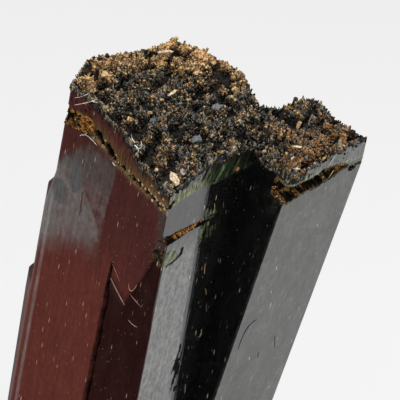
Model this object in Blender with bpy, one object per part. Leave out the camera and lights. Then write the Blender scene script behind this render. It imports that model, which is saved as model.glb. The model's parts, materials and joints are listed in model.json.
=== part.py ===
"""Aegirine crystal: two prisms grown into each other, their ends covered by one crust of small crystals.

Run it with blender --background --python part.py, or from Blender's text editor.

Sizes are in millimetres and become metres where a mesh is made. Z runs up the main prism. The origin is
on the main prism's axis, on the flat face where the crystal was broken from its rock. The prism's front
edge points towards -Y, its left face looks towards -X and -Y, and the second prism grows on its right.
"""

import math
import random

import bmesh
import bpy
from mathutils import Matrix, Vector
from mathutils.noise import noise

MM = 0.001

# The prisms. Corners run round each prism as seen from above, starting at its left or front edge.
SEAM_HEIGHT = 55.0  # the level where the last, rough growth of both ends begins
MAIN_CORNERS = ((-10.4, 0.0), (2.0, -10.7), (10.8, 0.1), (6.2, 6.6), (-1.0, 10.4), (-9.2, 4.9))
LEFT, FRONT, RIGHT, BACK_RIGHT, BACK, BACK_LEFT = range(6)
MAIN_EDGE_FLATS = (0.25, 0.62, 0.2, 0.3, 0.3, 0.25)  # how far each edge's narrow flat reaches
TWIN_CORNERS = ((12.95, -5.5), (20.2, 2.4), (13.9, 7.4), (10.8, 5.3), (6.4, 5.0), (7.1, 0.2))
TWIN_EDGE_FLATS = (0.2, 0.2, 0.3, 0.2, 0.2, 0.2)
TWIN_LEAN = 0.11  # sideways travel of the second prism for each unit of height
TWIN_TAPER = 0.02  # its front edge closes on its right edge by this much for each unit downwards

# Growth ledges of the main prism: corner, where the ledge starts, where it ends, and its step outwards.
# The last step of the back left corner is a slow one, back inwards all the way down.
GROWTH_LEDGES = (
    (LEFT, 47.6, 44.4, (-0.43, 0.37)),
    (BACK_LEFT, 45.4, 42.6, (-1.92, -0.10)),
    (BACK_LEFT, 31.6, 30.9, (-0.48, 0.10)),
    (BACK_LEFT, 28.0, 0.0, (0.40, 0.0)),
    (BACK, 41.0, 40.0, (-0.10, 0.45)),
    (BACK_RIGHT, 29.6, 28.8, (0.30, 0.35)),
    (BACK, 21.2, 20.4, (0.10, 0.40)),
)

# The ends, above the seam: a level and its slope across X and Y, then swellings and hollows as
# x, y, radius and height.
MAIN_END = (3.3, 0.0, 0.03)
MAIN_SWELLINGS = (
    (0.5, -10.0, 4.5, -2.2),
    (10.5, -0.5, 2.5, -1.2),
    (3.4, 6.4, 4.3, 1.7),
    (-1.0, 8.0, 1.7, 1.35),
)
TWIN_END = (1.1, 0.08, 0.0)
TWIN_SWELLINGS = ((12.9, 5.3, 1.6, 1.6), (9.6, 4.8, 2.6, 0.5))
END_ROUGHNESS = 0.35
END_ROUGHNESS_SIZE = 1.7
END_RINGS = 6
FACE_STEP = 2.2  # spacing of the points along a face

# The crust of small crystals on the ends.
CRUST_SPACING = 1.24
CRUST_WIDTHS = (0.8, 1.4)
CRUST_TIPS = (0.3, 0.95)
CRUST_ROOT = 0.8
CRUST_TILT = 0.28
CRUST_INSET = 0.25
CRUST_SEED = 3

# The recessed panel on the left face, from a crack to the front edge. Each point is its distance along
# the left face, its height against the seam and its depth.
PANEL = (
    (10.0, -12.5, 0.02),
    (10.0, -18.0, 0.32),
    (10.0, -56.0, 0.40),
    (18.0, -56.0, 0.75),
    (18.0, -6.2, 0.75),
    (15.4, -6.6, 0.45),
    (15.1, -8.8, 0.35),
    (14.3, -11.2, 0.35),
    (13.5, -13.5, 0.25),
    (12.8, -14.9, 0.12),
)

# Pits on the seam of the left face: distance along the face, height against the seam, and radius.
LEFT_FACE_PITS = (
    (0.1, 0.3, 0.8), (0.9, 0.9, 0.6), (1.9, 0.6, 0.75), (2.9, 0.3, 0.6), (3.7, 0.8, 0.55),
    (4.9, 0.7, 0.32), (6.8, 0.3, 0.45), (7.1, -0.1, 0.35), (9.1, -0.6, 0.22), (10.6, -0.8, 0.24),
    (11.5, -0.8, 0.26), (12.1, -0.9, 0.24), (12.9, -1.0, 0.28), (13.8, -0.9, 0.2), (14.5, -1.3, 0.26),
)
# Pits on the front faces of the main prism and the second prism, in the same terms.
FRONT_FACE_PITS = ((0.25, -0.75, 0.3), (0.7, -0.45, 0.22), (1.3, -0.1, 0.16))
TWIN_FACE_PITS = (
    (0.0, -0.5, 0.95), (0.9, -0.5, 0.95), (1.8, -0.45, 0.8), (2.7, -0.2, 0.65), (3.6, -0.1, 0.6),
    (4.4, 0.0, 0.5), (5.2, 0.2, 0.5), (6.0, 0.3, 0.42), (6.9, 0.3, 0.35), (7.6, 0.35, 0.26), (9.4, -0.35, 0.3),
)
PIT_SEED = 5

# The open crack across the main prism's front face: distance along the face, height, half its width.
FRONT_CRACK = ((-0.6, -5.35, 0.12), (1.2, -5.25, 0.32), (2.7, -4.98, 0.3), (4.9, -4.8, 0.13), (6.7, -4.75, 0.03))
CRACK_DEPTH = 0.9


def clear_scene():
    for thing in list(bpy.data.objects):
        bpy.data.objects.remove(thing, do_unlink=True)


def make_material(name, colour, roughness):
    material = bpy.data.materials.new(name)
    material.use_nodes = True
    shader = material.node_tree.nodes["Principled BSDF"]
    shader.inputs["Base Color"].default_value = (*colour, 1.0)
    shader.inputs["Roughness"].default_value = roughness
    shader.inputs["Metallic"].default_value = 0.0
    return material


def make_object(name, bm):
    """An object from a bmesh in millimetres, faces pointing outwards."""
    bmesh.ops.recalc_face_normals(bm, faces=bm.faces)
    bmesh.ops.scale(bm, vec=(MM, MM, MM), verts=bm.verts)
    mesh = bpy.data.meshes.new(name)
    bm.to_mesh(mesh)
    bm.free()
    thing = bpy.data.objects.new(name, mesh)
    bpy.context.scene.collection.objects.link(thing)
    return thing


def make_cutter(name, bm):
    cutter = make_object(name, bm)
    cutter.hide_render = True
    cutter.display_type = "WIRE"
    return cutter


def combine(body, other, operation):
    """Joins another closed shape, whose own pieces may overlap, to the body, or cuts it away."""
    modifier = body.modifiers.new(other.name, "BOOLEAN")
    modifier.object = other
    modifier.operation = operation
    modifier.solver = "EXACT"
    modifier.use_self = True


def main_corners(height):
    corners = [Vector(corner) for corner in MAIN_CORNERS]
    for corner, top, bottom, step in GROWTH_LEDGES:
        share = min(max((top - height) / (top - bottom), 0.0), 1.0)
        corners[corner] += Vector(step) * share
    return corners


def twin_corners(height):
    below = SEAM_HEIGHT - height
    corners = [Vector(corner) - Vector((TWIN_LEAN * below, 0.0)) for corner in TWIN_CORNERS]
    along_face = (corners[1] - corners[0]).normalized()
    corners[0] += along_face * TWIN_TAPER * max(below, 0.0)
    return corners


def outline(corners, flats, rest_corners):
    """Points round a prism: a narrow flat on each edge and even points along each face."""
    points = []
    for i, corner in enumerate(corners):
        following = corners[(i + 1) % len(corners)]
        along = (following - corner).normalized()
        start = corner + along * flats[i]
        end = following - along * flats[(i + 1) % len(corners)]
        length = (rest_corners[(i + 1) % len(corners)] - rest_corners[i]).length
        steps = max(1, round(length / FACE_STEP))
        points.extend(start.lerp(end, step / steps) for step in range(steps + 1))
    return points


def end_height(x, y, end, swellings):
    level, slope_x, slope_y = end
    height = SEAM_HEIGHT + level + slope_x * x + slope_y * y
    for swell_x, swell_y, radius, rise in swellings:
        height += rise * math.exp(-((x - swell_x) ** 2 + (y - swell_y) ** 2) / radius**2)
    place = Vector((x, y, 0.0)) / END_ROUGHNESS_SIZE
    return height + END_ROUGHNESS * noise(place)


def main_end(x, y):
    return end_height(x, y, MAIN_END, MAIN_SWELLINGS)


def twin_end(x, y):
    return end_height(x, y, TWIN_END, TWIN_SWELLINGS)


def make_prism(corners_at, flats, heights, end_at, name):
    """A closed prism: rings of points up its sides, then rings closing in over its rounded end."""
    rest = corners_at(SEAM_HEIGHT)
    rings = [[(*point, height) for point in outline(corners_at(height), flats, rest)] for height in heights]
    top = outline(rest, flats, rest)
    centre = sum(top, Vector((0.0, 0.0))) / len(top)
    for ring in range(END_RINGS):
        share = 1.0 - ring / END_RINGS
        around = [centre.lerp(point, share) for point in top]
        rings.append([(point.x, point.y, end_at(point.x, point.y)) for point in around])
    bm = bmesh.new()
    loops = [[bm.verts.new(point) for point in ring] for ring in rings]
    for lower, upper in zip(loops, loops[1:]):
        for i in range(len(lower)):
            j = (i + 1) % len(lower)
            bm.faces.new((lower[i], lower[j], upper[j], upper[i]))
    bm.faces.new(reversed(loops[0]))
    peak = bm.verts.new((centre.x, centre.y, end_at(centre.x, centre.y)))
    for i, vertex in enumerate(loops[-1]):
        bm.faces.new((vertex, loops[-1][(i + 1) % len(loops[-1])], peak))
    return make_object(name, bm)


def ledge_heights():
    heights = {0.0, SEAM_HEIGHT}
    for _, top, bottom, _ in GROWTH_LEDGES:
        heights |= {top, bottom}
    return sorted(heights)


def face_frame(start, end, lean=0.0):
    """Where a face starts at the seam, its direction along, its direction up and its outward normal."""
    along = Vector((*(end - start).normalized(), 0.0))
    up = Vector((lean, 0.0, 1.0))
    return Vector((*start, SEAM_HEIGHT)), along, up, along.cross(up).normalized()


def on_face(frame, distance, height, out=0.0):
    origin, along, up, normal = frame
    return origin + along * distance + up * height + normal * out


def add_lump(bm, centre, radius, rng):
    """A rough lump with flat facets."""
    lump = bmesh.ops.create_icosphere(bm, subdivisions=1, radius=radius)["verts"]
    for vertex in lump:
        vertex.co *= rng.uniform(0.8, 1.15)
    turn = Matrix.Rotation(rng.uniform(0.0, math.tau), 4, Vector((rng.random(), rng.random(), 1.0)))
    bmesh.ops.transform(bm, matrix=Matrix.Translation(centre) @ turn, verts=lump)


def make_pits(faces_and_pits):
    rng = random.Random(PIT_SEED)
    bm = bmesh.new()
    for frame, pits in faces_and_pits:
        for distance, height, radius in pits:
            add_lump(bm, on_face(frame, distance, height, -0.15 * radius), radius, rng)
    return make_cutter("pits_cutter", bm)


def make_panel(frame):
    """The slab that leaves the recessed panel: its inner side follows the panel's depths."""
    bm = bmesh.new()
    inner = [bm.verts.new(on_face(frame, along, height, -depth)) for along, height, depth in PANEL]
    outer = [bm.verts.new(on_face(frame, along, height, 3.0)) for along, height, _ in PANEL]
    bm.faces.new(inner)
    bm.faces.new(outer)
    for i in range(len(PANEL)):
        j = (i + 1) % len(PANEL)
        bm.faces.new((inner[i], inner[j], outer[j], outer[i]))
    bmesh.ops.triangulate(bm, faces=[face for face in bm.faces if len(face.verts) > 4])
    return make_cutter("panel_cutter", bm)


def make_crack(frame):
    """A thin wedge, wide where the crack opens at the front edge and closing along the face."""
    bm = bmesh.new()
    sections = []
    for along, height, half in FRONT_CRACK:
        section = [
            on_face(frame, along, height - half, 0.3),
            on_face(frame, along, height + half, 0.3),
            on_face(frame, along, height + 0.3 * half, -CRACK_DEPTH),
            on_face(frame, along, height - 0.3 * half, -CRACK_DEPTH),
        ]
        sections.append([bm.verts.new(point) for point in section])
    for first, second in zip(sections, sections[1:]):
        for i in range(4):
            j = (i + 1) % 4
            bm.faces.new((first[i], first[j], second[j], second[i]))
    bm.faces.new(sections[0])
    bm.faces.new(reversed(sections[-1]))
    return make_cutter("crack_cutter", bm)


def inside(x, y, corners):
    """Whether a point lies within an outline, by counting the sides crossed on the way out."""
    crossings = 0
    for i, start in enumerate(corners):
        end = corners[(i + 1) % len(corners)]
        if (start.y > y) != (end.y > y):
            crossings += x < start.x + (y - start.y) * (end.x - start.x) / (end.y - start.y)
    return crossings % 2 == 1


def well_inside(x, y, corners):
    """Whether a point and the points around it, the crust's inset away, all lie within an outline."""
    ways = ((CRUST_INSET, 0.0), (-CRUST_INSET, 0.0), (0.0, CRUST_INSET), (0.0, -CRUST_INSET))
    return all(inside(x + step_x, y + step_y, corners) for step_x, step_y in ways)


def crust_height(x, y):
    """The height of the rough end at a place, or None outside both prisms."""
    heights = []
    if well_inside(x, y, main_corners(SEAM_HEIGHT)):
        heights.append(main_end(x, y))
    if well_inside(x, y, twin_corners(SEAM_HEIGHT)):
        heights.append(twin_end(x, y))
    return max(heights, default=None)


def add_crystal(bm, base, direction, width, tip, rng):
    """A small four-sided crystal with a slanting end, rooted under the surface it stands on."""
    across = direction.orthogonal().normalized()
    across.rotate(Matrix.Rotation(rng.uniform(0.0, math.tau), 3, direction))
    sideways = direction.cross(across)
    thickness = width * rng.uniform(0.6, 1.0)
    slant = rng.uniform(0.1, 0.5) * width
    narrowing = rng.uniform(0.35, 0.8)
    foot, head = [], []
    for u, v in ((-1, -1), (1, -1), (1, 1), (-1, 1)):
        side = across * (u * width / 2) + sideways * (v * thickness / 2)
        foot.append(bm.verts.new(base - direction * CRUST_ROOT + side))
        head.append(bm.verts.new(base + direction * (tip + u * slant / 2) + side * narrowing))
    for i in range(4):
        j = (i + 1) % 4
        bm.faces.new((foot[i], foot[j], head[j], head[i]))
    bm.faces.new(reversed(foot))
    bm.faces.new(head)


def make_crust():
    rng = random.Random(CRUST_SEED)
    bm = bmesh.new()
    steps = range(-16, 24)
    for row in steps:
        for column in steps:
            x = (column + 0.5 * (row % 2) + rng.uniform(-0.3, 0.3)) * CRUST_SPACING
            y = (row + rng.uniform(-0.3, 0.3)) * CRUST_SPACING * 0.87
            height = crust_height(x, y)
            if height is None:
                continue
            beside = crust_height(x + 0.1, y) or height
            behind = crust_height(x, y + 0.1) or height
            slope = Vector(((height - beside) / 0.1, (height - behind) / 0.1, 1.0))
            slope.x = min(max(slope.x, -1.0), 1.0)
            slope.y = min(max(slope.y, -1.0), 1.0)
            stray = Vector((rng.gauss(0.0, CRUST_TILT), rng.gauss(0.0, CRUST_TILT), 0.0))
            direction = (slope.normalized() * 0.6 + Vector((0.0, 0.0, 0.6)) + stray).normalized()
            base = Vector((x, y, height))
            add_crystal(bm, base, direction, rng.uniform(*CRUST_WIDTHS), rng.uniform(*CRUST_TIPS), rng)
    return make_cutter("crust_crystals", bm)


def make_crystal():
    body = make_prism(main_corners, MAIN_EDGE_FLATS, ledge_heights(), main_end, "aegirine_crystal")
    twin = make_prism(twin_corners, TWIN_EDGE_FLATS, (0.0, SEAM_HEIGHT), twin_end, "twin_prism")
    twin.hide_render = True
    twin.display_type = "WIRE"
    main = main_corners(SEAM_HEIGHT)
    second = twin_corners(SEAM_HEIGHT)
    left_face = face_frame(main[LEFT], main[FRONT])
    front_face = face_frame(main[FRONT], main[RIGHT])
    twin_face = face_frame(second[0], second[1], TWIN_LEAN)
    pits = ((left_face, LEFT_FACE_PITS), (front_face, FRONT_FACE_PITS), (twin_face, TWIN_FACE_PITS))
    combine(body, twin, "UNION")
    combine(body, make_panel(left_face), "DIFFERENCE")
    combine(body, make_crack(front_face), "DIFFERENCE")
    combine(body, make_crust(), "UNION")
    combine(body, make_pits(pits), "DIFFERENCE")
    body.data.materials.append(make_material("aegirine_black", (0.02, 0.018, 0.018), 0.2))


clear_scene()
make_crystal()
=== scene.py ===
# %% [markdown]
# # An aegirine crystal pair
# Aegirine grows as long black prisms. Here two of them have grown into each other, and a crust of tiny
# crystals, rust and clay covers both ends. The imported model is a plain solid of the right size. This
# lesson gives it the fine shape and the finishes: glossy striated faces, maroon and grey painted on one
# side for its reflections, a rusty seam, the crust itself, and the chips and dust caught on it.

# %% Open the imported model
import json
import math
import random

import bmesh
import bpy
import numpy as np
from mathutils import Matrix, Vector
from mathutils.kdtree import KDTree
from mathutils.noise import noise, voronoi

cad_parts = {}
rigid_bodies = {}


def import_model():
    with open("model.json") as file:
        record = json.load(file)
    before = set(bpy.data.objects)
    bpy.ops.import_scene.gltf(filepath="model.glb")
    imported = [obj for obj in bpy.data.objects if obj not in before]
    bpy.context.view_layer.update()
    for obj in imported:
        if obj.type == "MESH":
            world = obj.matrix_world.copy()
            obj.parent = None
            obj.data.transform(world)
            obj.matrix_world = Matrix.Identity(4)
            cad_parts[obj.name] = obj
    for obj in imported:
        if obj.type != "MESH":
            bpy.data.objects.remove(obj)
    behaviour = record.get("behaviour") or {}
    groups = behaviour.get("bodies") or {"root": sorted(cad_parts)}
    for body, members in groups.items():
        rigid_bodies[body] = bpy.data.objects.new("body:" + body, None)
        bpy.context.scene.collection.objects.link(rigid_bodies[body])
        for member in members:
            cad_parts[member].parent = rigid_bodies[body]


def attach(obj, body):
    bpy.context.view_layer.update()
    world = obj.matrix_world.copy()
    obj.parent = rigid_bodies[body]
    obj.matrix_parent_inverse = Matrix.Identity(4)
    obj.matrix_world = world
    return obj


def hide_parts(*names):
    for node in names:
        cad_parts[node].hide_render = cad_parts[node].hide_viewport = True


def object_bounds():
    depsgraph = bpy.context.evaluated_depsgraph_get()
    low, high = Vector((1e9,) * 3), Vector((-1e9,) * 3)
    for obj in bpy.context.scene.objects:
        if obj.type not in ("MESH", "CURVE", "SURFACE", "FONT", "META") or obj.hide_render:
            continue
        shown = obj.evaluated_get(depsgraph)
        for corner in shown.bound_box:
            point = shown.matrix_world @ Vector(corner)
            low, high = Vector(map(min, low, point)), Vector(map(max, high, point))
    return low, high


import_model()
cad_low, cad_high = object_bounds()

MM = 0.001
print("CAD box in mm:", [round(v / MM, 2) for v in (*cad_low, *cad_high)])

# %% [markdown]
# ## The camera
# A long lens from half a metre keeps the prism's edges nearly parallel, as a close-up of a small
# specimen does. The camera looks down at the end and is rolled, so that the crystal leans in the frame.

# %% Camera
CAMERA_TARGET = Vector((4.684, -9.352, 55.0)) * MM
CAMERA_DISTANCE = 0.5
CAMERA_ELEVATION = math.radians(38.0)
CAMERA_ROLL = math.radians(11.4)
CAMERA_LENS = 450.0
CAMERA_CLIP = 0.01

scene = bpy.context.scene
looking = Vector((0.0, math.cos(CAMERA_ELEVATION), -math.sin(CAMERA_ELEVATION)))
camera_data = bpy.data.cameras.new("camera")
camera_data.lens = CAMERA_LENS
camera_data.clip_start = CAMERA_CLIP
camera = bpy.data.objects.new("camera", camera_data)
camera.location = CAMERA_TARGET - looking * CAMERA_DISTANCE
tilt = Matrix.Rotation(math.pi / 2 - CAMERA_ELEVATION, 3, "X")
camera.rotation_euler = (tilt @ Matrix.Rotation(CAMERA_ROLL, 3, "Z")).to_euler()
scene.collection.objects.link(camera)
scene.camera = camera
scene.view_settings.view_transform = "Standard"
print("camera at", [round(v, 4) for v in camera.location])

# %% [markdown]
# ## Floor and light
# Black glossy faces show what they reflect, more than any colour of their own. A wide pale floor, a
# softbox overhead and a smaller one that brightens the floor on the right give the two right-hand faces
# their even grey, and the floor on the left stays a little darker. A few helpers come first, for all
# the objects and finishes.

# %% Helpers for objects and node trees
def link_object(name, mesh):
    thing = bpy.data.objects.new(name, mesh)
    scene.collection.objects.link(thing)
    return thing


def mesh_object(name, points, polygons):
    """A new object from points in millimetres."""
    mesh = bpy.data.meshes.new(name)
    mesh.from_pydata((np.asarray(points) * MM).tolist(), [], polygons)
    mesh.update()
    return link_object(name, mesh)


def link_or_set(tree, socket, value):
    """Links a socket to another node's output, or sets it where the value is a plain one."""
    if isinstance(value, bpy.types.NodeSocket):
        tree.links.new(value, socket)
    else:
        socket.default_value = value


def add_node(tree, kind, inputs=None, **settings):
    """A new node. Its inputs are given by their names."""
    node = tree.nodes.new(kind)
    for name, value in settings.items():
        setattr(node, name, value)
    for name, value in (inputs or {}).items():
        link_or_set(tree, node.inputs[name], value)
    return node


def new_finish(name):
    """A new material, with its node tree and its shader."""
    finish = bpy.data.materials.new(name)
    finish.use_nodes = True
    return finish, finish.node_tree, finish.node_tree.nodes["Principled BSDF"]


print("helpers ready")

# %% Floor
FLOOR_HALF = 3000.0
FLOOR_GREY = 0.79

floor_corners = [(x * FLOOR_HALF, y * FLOOR_HALF, 0.0) for x, y in ((-1, -1), (1, -1), (1, 1), (-1, 1))]
floor = mesh_object("floor", floor_corners, [(0, 1, 2, 3)])
paper_finish, _, paper = new_finish("pale_paper")
paper.inputs["Base Color"].default_value = (FLOOR_GREY, FLOOR_GREY, FLOOR_GREY, 1.0)
paper.inputs["Roughness"].default_value = 1.0
paper.inputs["Specular IOR Level"].default_value = 0.0
floor.data.materials.append(paper_finish)
print("floor, in metres:", 2 * FLOOR_HALF * MM)

# %% Lights
WORLD_STRENGTH = 0.26
SOFTBOXES = (  # name, place, the place it points at, size, power
    ("overhead", (-0.06, 0.0, 0.45), (0.0, 0.0, 0.03), 0.2, 1.50),
    ("right_side", (0.40, -0.05, 0.30), (0.08, 0.0, 0.0), 0.15, 0.95),
)

world = bpy.data.worlds.new("studio")
world.use_nodes = True
world.node_tree.nodes["Background"].inputs["Color"].default_value = (1.0, 1.0, 1.0, 1.0)
world.node_tree.nodes["Background"].inputs["Strength"].default_value = WORLD_STRENGTH
scene.world = world
for name, place, aim, size, power in SOFTBOXES:
    lamp_data = bpy.data.lights.new(name, "AREA")
    lamp_data.shape = "SQUARE"
    lamp_data.size = size
    lamp_data.energy = power
    lamp = link_object(name, lamp_data)
    lamp.location = place
    lamp.rotation_euler = (Vector(aim) - Vector(place)).to_track_quat("-Z", "Y").to_euler()

# %% [markdown]
# ## A black card for the groove
# The groove between the prisms sends back what lies in front of it. A black card there keeps it black,
# a common trick in a studio. The card shows in reflections only: the camera doesn't see it, and it
# neither throws a shadow nor darkens the floor.

# %% Black card
CARD_CORNERS = ((-30.0, -125.0), (34.0, -125.0), (34.0, -30.0), (-30.0, -30.0))
CARD_HEIGHT = 0.5

card = mesh_object("black_card", [(x, y, CARD_HEIGHT) for x, y in CARD_CORNERS], [(0, 1, 2, 3)])
card.visible_camera = False
card.visible_shadow = False
card.visible_diffuse = False
card_finish, _, card_shader = new_finish("black_card")
card_shader.inputs["Base Color"].default_value = (0.01, 0.01, 0.01, 1.0)
card_shader.inputs["Specular IOR Level"].default_value = 0.0
card.data.materials.append(card_finish)
print("card corners:", CARD_CORNERS)

# %% [markdown]
# ## The prisms
# Two prisms of aegirine stand side by side, and the second one leans away a little. Their corners here
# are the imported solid's own, so both models match from every side. The corners shift with the height,
# because growth ledges make a real prism wider or narrower in steps. Functions of the height are the
# plainest way to say that, and they let the next steps make a ring of points at any level.

# %% Sizes of the prisms, in millimetres
SEAM = 55.0  # the level where the last, rough growth of both ends begins
LEFT, FRONT, RIGHT, BACK_RIGHT, BACK, BACK_LEFT = range(6)  # the main prism's corners and faces
MAIN_CORNERS = ((-10.4, 0.0), (2.0, -10.7), (10.8, 0.1), (6.2, 6.6), (-1.0, 10.4), (-9.2, 4.9))
MAIN_FLATS = (0.25, 0.62, 0.2, 0.3, 0.3, 0.25)  # how far each edge's narrow flat reaches
MAIN_COLUMNS = (109, 91, 14, 16, 18, 10)  # columns of points on each face
TWIN_CORNERS = ((12.95, -5.5), (20.2, 2.4), (13.9, 7.4), (10.8, 5.3), (6.4, 5.0), (7.1, 0.2))
TWIN_FLATS = (0.2, 0.2, 0.3, 0.2, 0.2, 0.2)
TWIN_COLUMNS = (70, 20, 10, 8, 6, 40)
TWIN_LEAN = 0.11  # sideways travel for each unit of height
TWIN_TAPER = 0.02  # how much the front edge closes on the right one for each unit downwards
GROWTH_LEDGES = (  # corner, where the ledge starts, where it ends, its step outwards
    (LEFT, 47.6, 44.4, (-0.43, 0.37)),
    (BACK_LEFT, 45.4, 42.6, (-1.92, -0.10)),
    (BACK_LEFT, 31.6, 30.9, (-0.48, 0.10)),
    (BACK_LEFT, 28.0, 0.0, (0.40, 0.0)),
    (BACK, 41.0, 40.0, (-0.10, 0.45)),
    (BACK_RIGHT, 29.6, 28.8, (0.30, 0.35)),
    (BACK, 21.2, 20.4, (0.10, 0.40)),
)
FRONT_CRACK_LEVEL = 49.7  # above the open crack the front corner is sharper and stands further back
CHANGE_HEIGHT = 0.2
UPPER_SHIFT = (-0.34, 0.294)
UPPER_FLAT = 0.15
UPPER_STEP = 0.45
print("ledges:", len(GROWTH_LEDGES))


# %% Corners at any height
def above_crack(height):
    """0 below the open crack and 1 above it."""
    return min(max((height - FRONT_CRACK_LEVEL) / CHANGE_HEIGHT, 0.0), 1.0)


def main_flats(height):
    flats = list(MAIN_FLATS)
    flats[FRONT] += (UPPER_FLAT - flats[FRONT]) * above_crack(height)
    return flats


def main_corners(height):
    corners = np.array(MAIN_CORNERS)
    corners[FRONT] += np.array(UPPER_SHIFT) * above_crack(height)
    for corner, top, bottom, step in GROWTH_LEDGES:
        share = min(max((top - height) / (top - bottom), 0.0), 1.0)
        corners[corner] += np.array(step) * share
    return corners


def twin_corners(height):
    below = SEAM - height
    corners = np.array(TWIN_CORNERS) - (TWIN_LEAN * below, 0.0)
    along = corners[1] - corners[0]
    corners[0] += along / np.linalg.norm(along) * TWIN_TAPER * below
    return corners


print("main prism's base corners:", main_corners(0.0).round(1).tolist())

# %% The rough ends
MAIN_END = (3.3, 0.0, 0.03)  # level above the seam, and its slope across X and Y
MAIN_SWELLINGS = (  # x, y, radius, height
    (0.5, -10.0, 4.5, -2.2),
    (10.5, -0.5, 2.5, -1.2),
    (3.6, 6.2, 4.3, 1.6),
    (-0.9, 8.1, 1.45, 1.5),
    (-8.6, 4.4, 2.2, 0.6),
)
TWIN_END = (1.1, 0.08, 0.0)
TWIN_SWELLINGS = (
    (13.9, 5.4, 1.5, 0.9),
    (9.6, 4.8, 2.6, 0.2),
    (16.7, 4.8, 1.6, -0.45),
    (20.0, 2.2, 2.2, -0.3),
)
END_ROUGHNESS = 0.35
END_ROUGHNESS_SIZE = 1.7


def patches(points, size, seed=0.0):
    """Smooth noise, about -1 to 1, at each row of points. Size is one number, or one for each axis."""
    spots = np.asarray(points) / size + seed
    return np.array([noise(Vector(spot)) for spot in spots])


def flat_places(x, y):
    return np.stack([x, y, np.zeros_like(x)], 1)


def lump(x, y, spot_x, spot_y, radius):
    """A soft round spot: 1 in its middle, fading to 0."""
    return np.exp(-((x - spot_x) ** 2 + (y - spot_y) ** 2) / radius**2)


def end_height(x, y, end, swellings):
    """How high a prism's end is at each place: a slope, its lumps and hollows, and some roughness."""
    level, slope_x, slope_y = end
    height = SEAM + level + slope_x * x + slope_y * y
    for swell_x, swell_y, radius, rise in swellings:
        height = height + rise * lump(x, y, swell_x, swell_y, radius)
    return height + END_ROUGHNESS * patches(flat_places(x, y), END_ROUGHNESS_SIZE)


def main_end(x, y):
    return end_height(x, y, MAIN_END, MAIN_SWELLINGS)


def twin_end(x, y):
    return end_height(x, y, TWIN_END, TWIN_SWELLINGS)


print("lumps and hollows:", len(MAIN_SWELLINGS), "and", len(TWIN_SWELLINGS))

# %% [markdown]
# ## A frame for each face that is seen close up
# Marks on a crystal's face are easiest to place on the face itself. So each of the three faces has a
# frame of its own: a distance along the face, a height against the seam, and how far a place stands
# out. The same frame carves the face and paints it, and so the paint always lies where the pits are.

# %% The three faces seen close up
class Face:
    """A flat crystal face: it turns places in space into places on the face, and back."""

    def __init__(self, start, end, lean, rim):
        start, end = np.array(start), np.array(end)
        self.length = np.linalg.norm(end - start)
        self.origin = np.array((*start, SEAM))
        self.along = np.array((*((end - start) / self.length), 0.0))
        self.up = np.array((lean, 0.0, 1.0))
        out = np.cross(self.along, self.up)
        self.out = out / np.linalg.norm(out)
        self.axes = np.stack([self.along, self.up, self.out], 1)
        self.rim = rim

    def place(self, points):
        """Distance along, height against the seam and how far out, for each point."""
        return np.linalg.solve(self.axes, (points - self.origin).T)

    def point(self, along, height):
        """The place in space of one place on the face."""
        return self.origin + self.axes @ np.array((along, height, 0.0))


LEFT_RIM = (  # distance along the face, height of the ragged rim
    (0.3, 4.0), (1.7, 4.2), (3.0, 4.4), (4.0, 4.0), (5.3, 4.0), (6.2, 3.4), (7.2, 3.5), (8.3, 3.6),
    (9.1, 3.2), (9.9, 2.4), (11.2, 1.6), (12.5, 1.8), (13.8, 1.4), (15.3, 0.9),
)
FRONT_RIM = (
    (0.2, 1.5), (0.8, 2.1), (1.7, 2.4), (2.4, 2.4), (3.3, 3.0), (4.2, 3.2), (5.5, 3.0), (6.9, 3.0),
    (8.6, 3.2), (10.9, 2.9), (12.1, 2.2),
)
TWIN_RIM = (
    (1.5, 1.9), (2.4, 2.15), (3.4, 2.65), (5.5, 3.1), (7.3, 3.4), (8.8, 3.4), (10.0, 3.1), (10.6, 2.8),
)
left_face = Face(MAIN_CORNERS[LEFT], MAIN_CORNERS[FRONT], 0.0, LEFT_RIM)
front_face = Face(MAIN_CORNERS[FRONT], MAIN_CORNERS[RIGHT], 0.0, FRONT_RIM)
twin_face = Face(TWIN_CORNERS[0], TWIN_CORNERS[1], TWIN_LEAN, TWIN_RIM)
print("face widths:", [round(face.length, 1) for face in (left_face, front_face, twin_face)])

# %% [markdown]
# ## Relief of the faces
# Every mark that has a real depth is carved: pits and hollows along the seam, the open crack on the
# front face, and the sunken panel beside the left face's long crack. Each face has one function that
# gives a depth for every place on it, so a mark can be moved by changing two numbers.

# %% Shapes that the relief is made from
def ramp(start, end, x):
    """0 before start, 1 after end, smooth between. Start may be the larger one."""
    share = np.clip((x - start) / (end - start), 0.0, 1.0)
    return share * share * (3.0 - 2.0 * share)


def follow(a, line, column=1):
    """The height of a line of (distance, height) points at each distance along the face. Where the
    points have a third number, such as half a crack's width, it is column 2."""
    line = np.array(line).T
    return np.interp(a, line[0], line[column])


def ragged(a, h, size, seed):
    """Noise on a face. Its patches are as tall as they are wide."""
    return patches(flat_places(a, h), size, seed)


def streaks(a, h, wide, tall, seed):
    """Noise on a face, with patches of one size along the face and another up it."""
    return ragged(a, h, np.array((wide, tall, 1.0)), seed)


def pit_depth(a, h, pits, steepness=0.35):
    """Rough bowls. Each pit is a distance along the face, a height and a radius."""
    depth = np.zeros_like(a)
    wobble = 0.28 * ragged(a, h, 0.33, 3.7) + 0.14 * ragged(a, h, 0.14, 9.1)
    for centre_a, centre_h, radius in pits:
        near = (np.abs(a - centre_a) < 1.6 * radius) & (np.abs(h - centre_h) < 1.6 * radius)
        away = np.hypot(a[near] - centre_a, h[near] - centre_h) / radius + wobble[near]
        depth[near] = np.maximum(depth[near], 0.9 * radius * ramp(1.0, 1.0 - steepness, away))
    return depth


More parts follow.
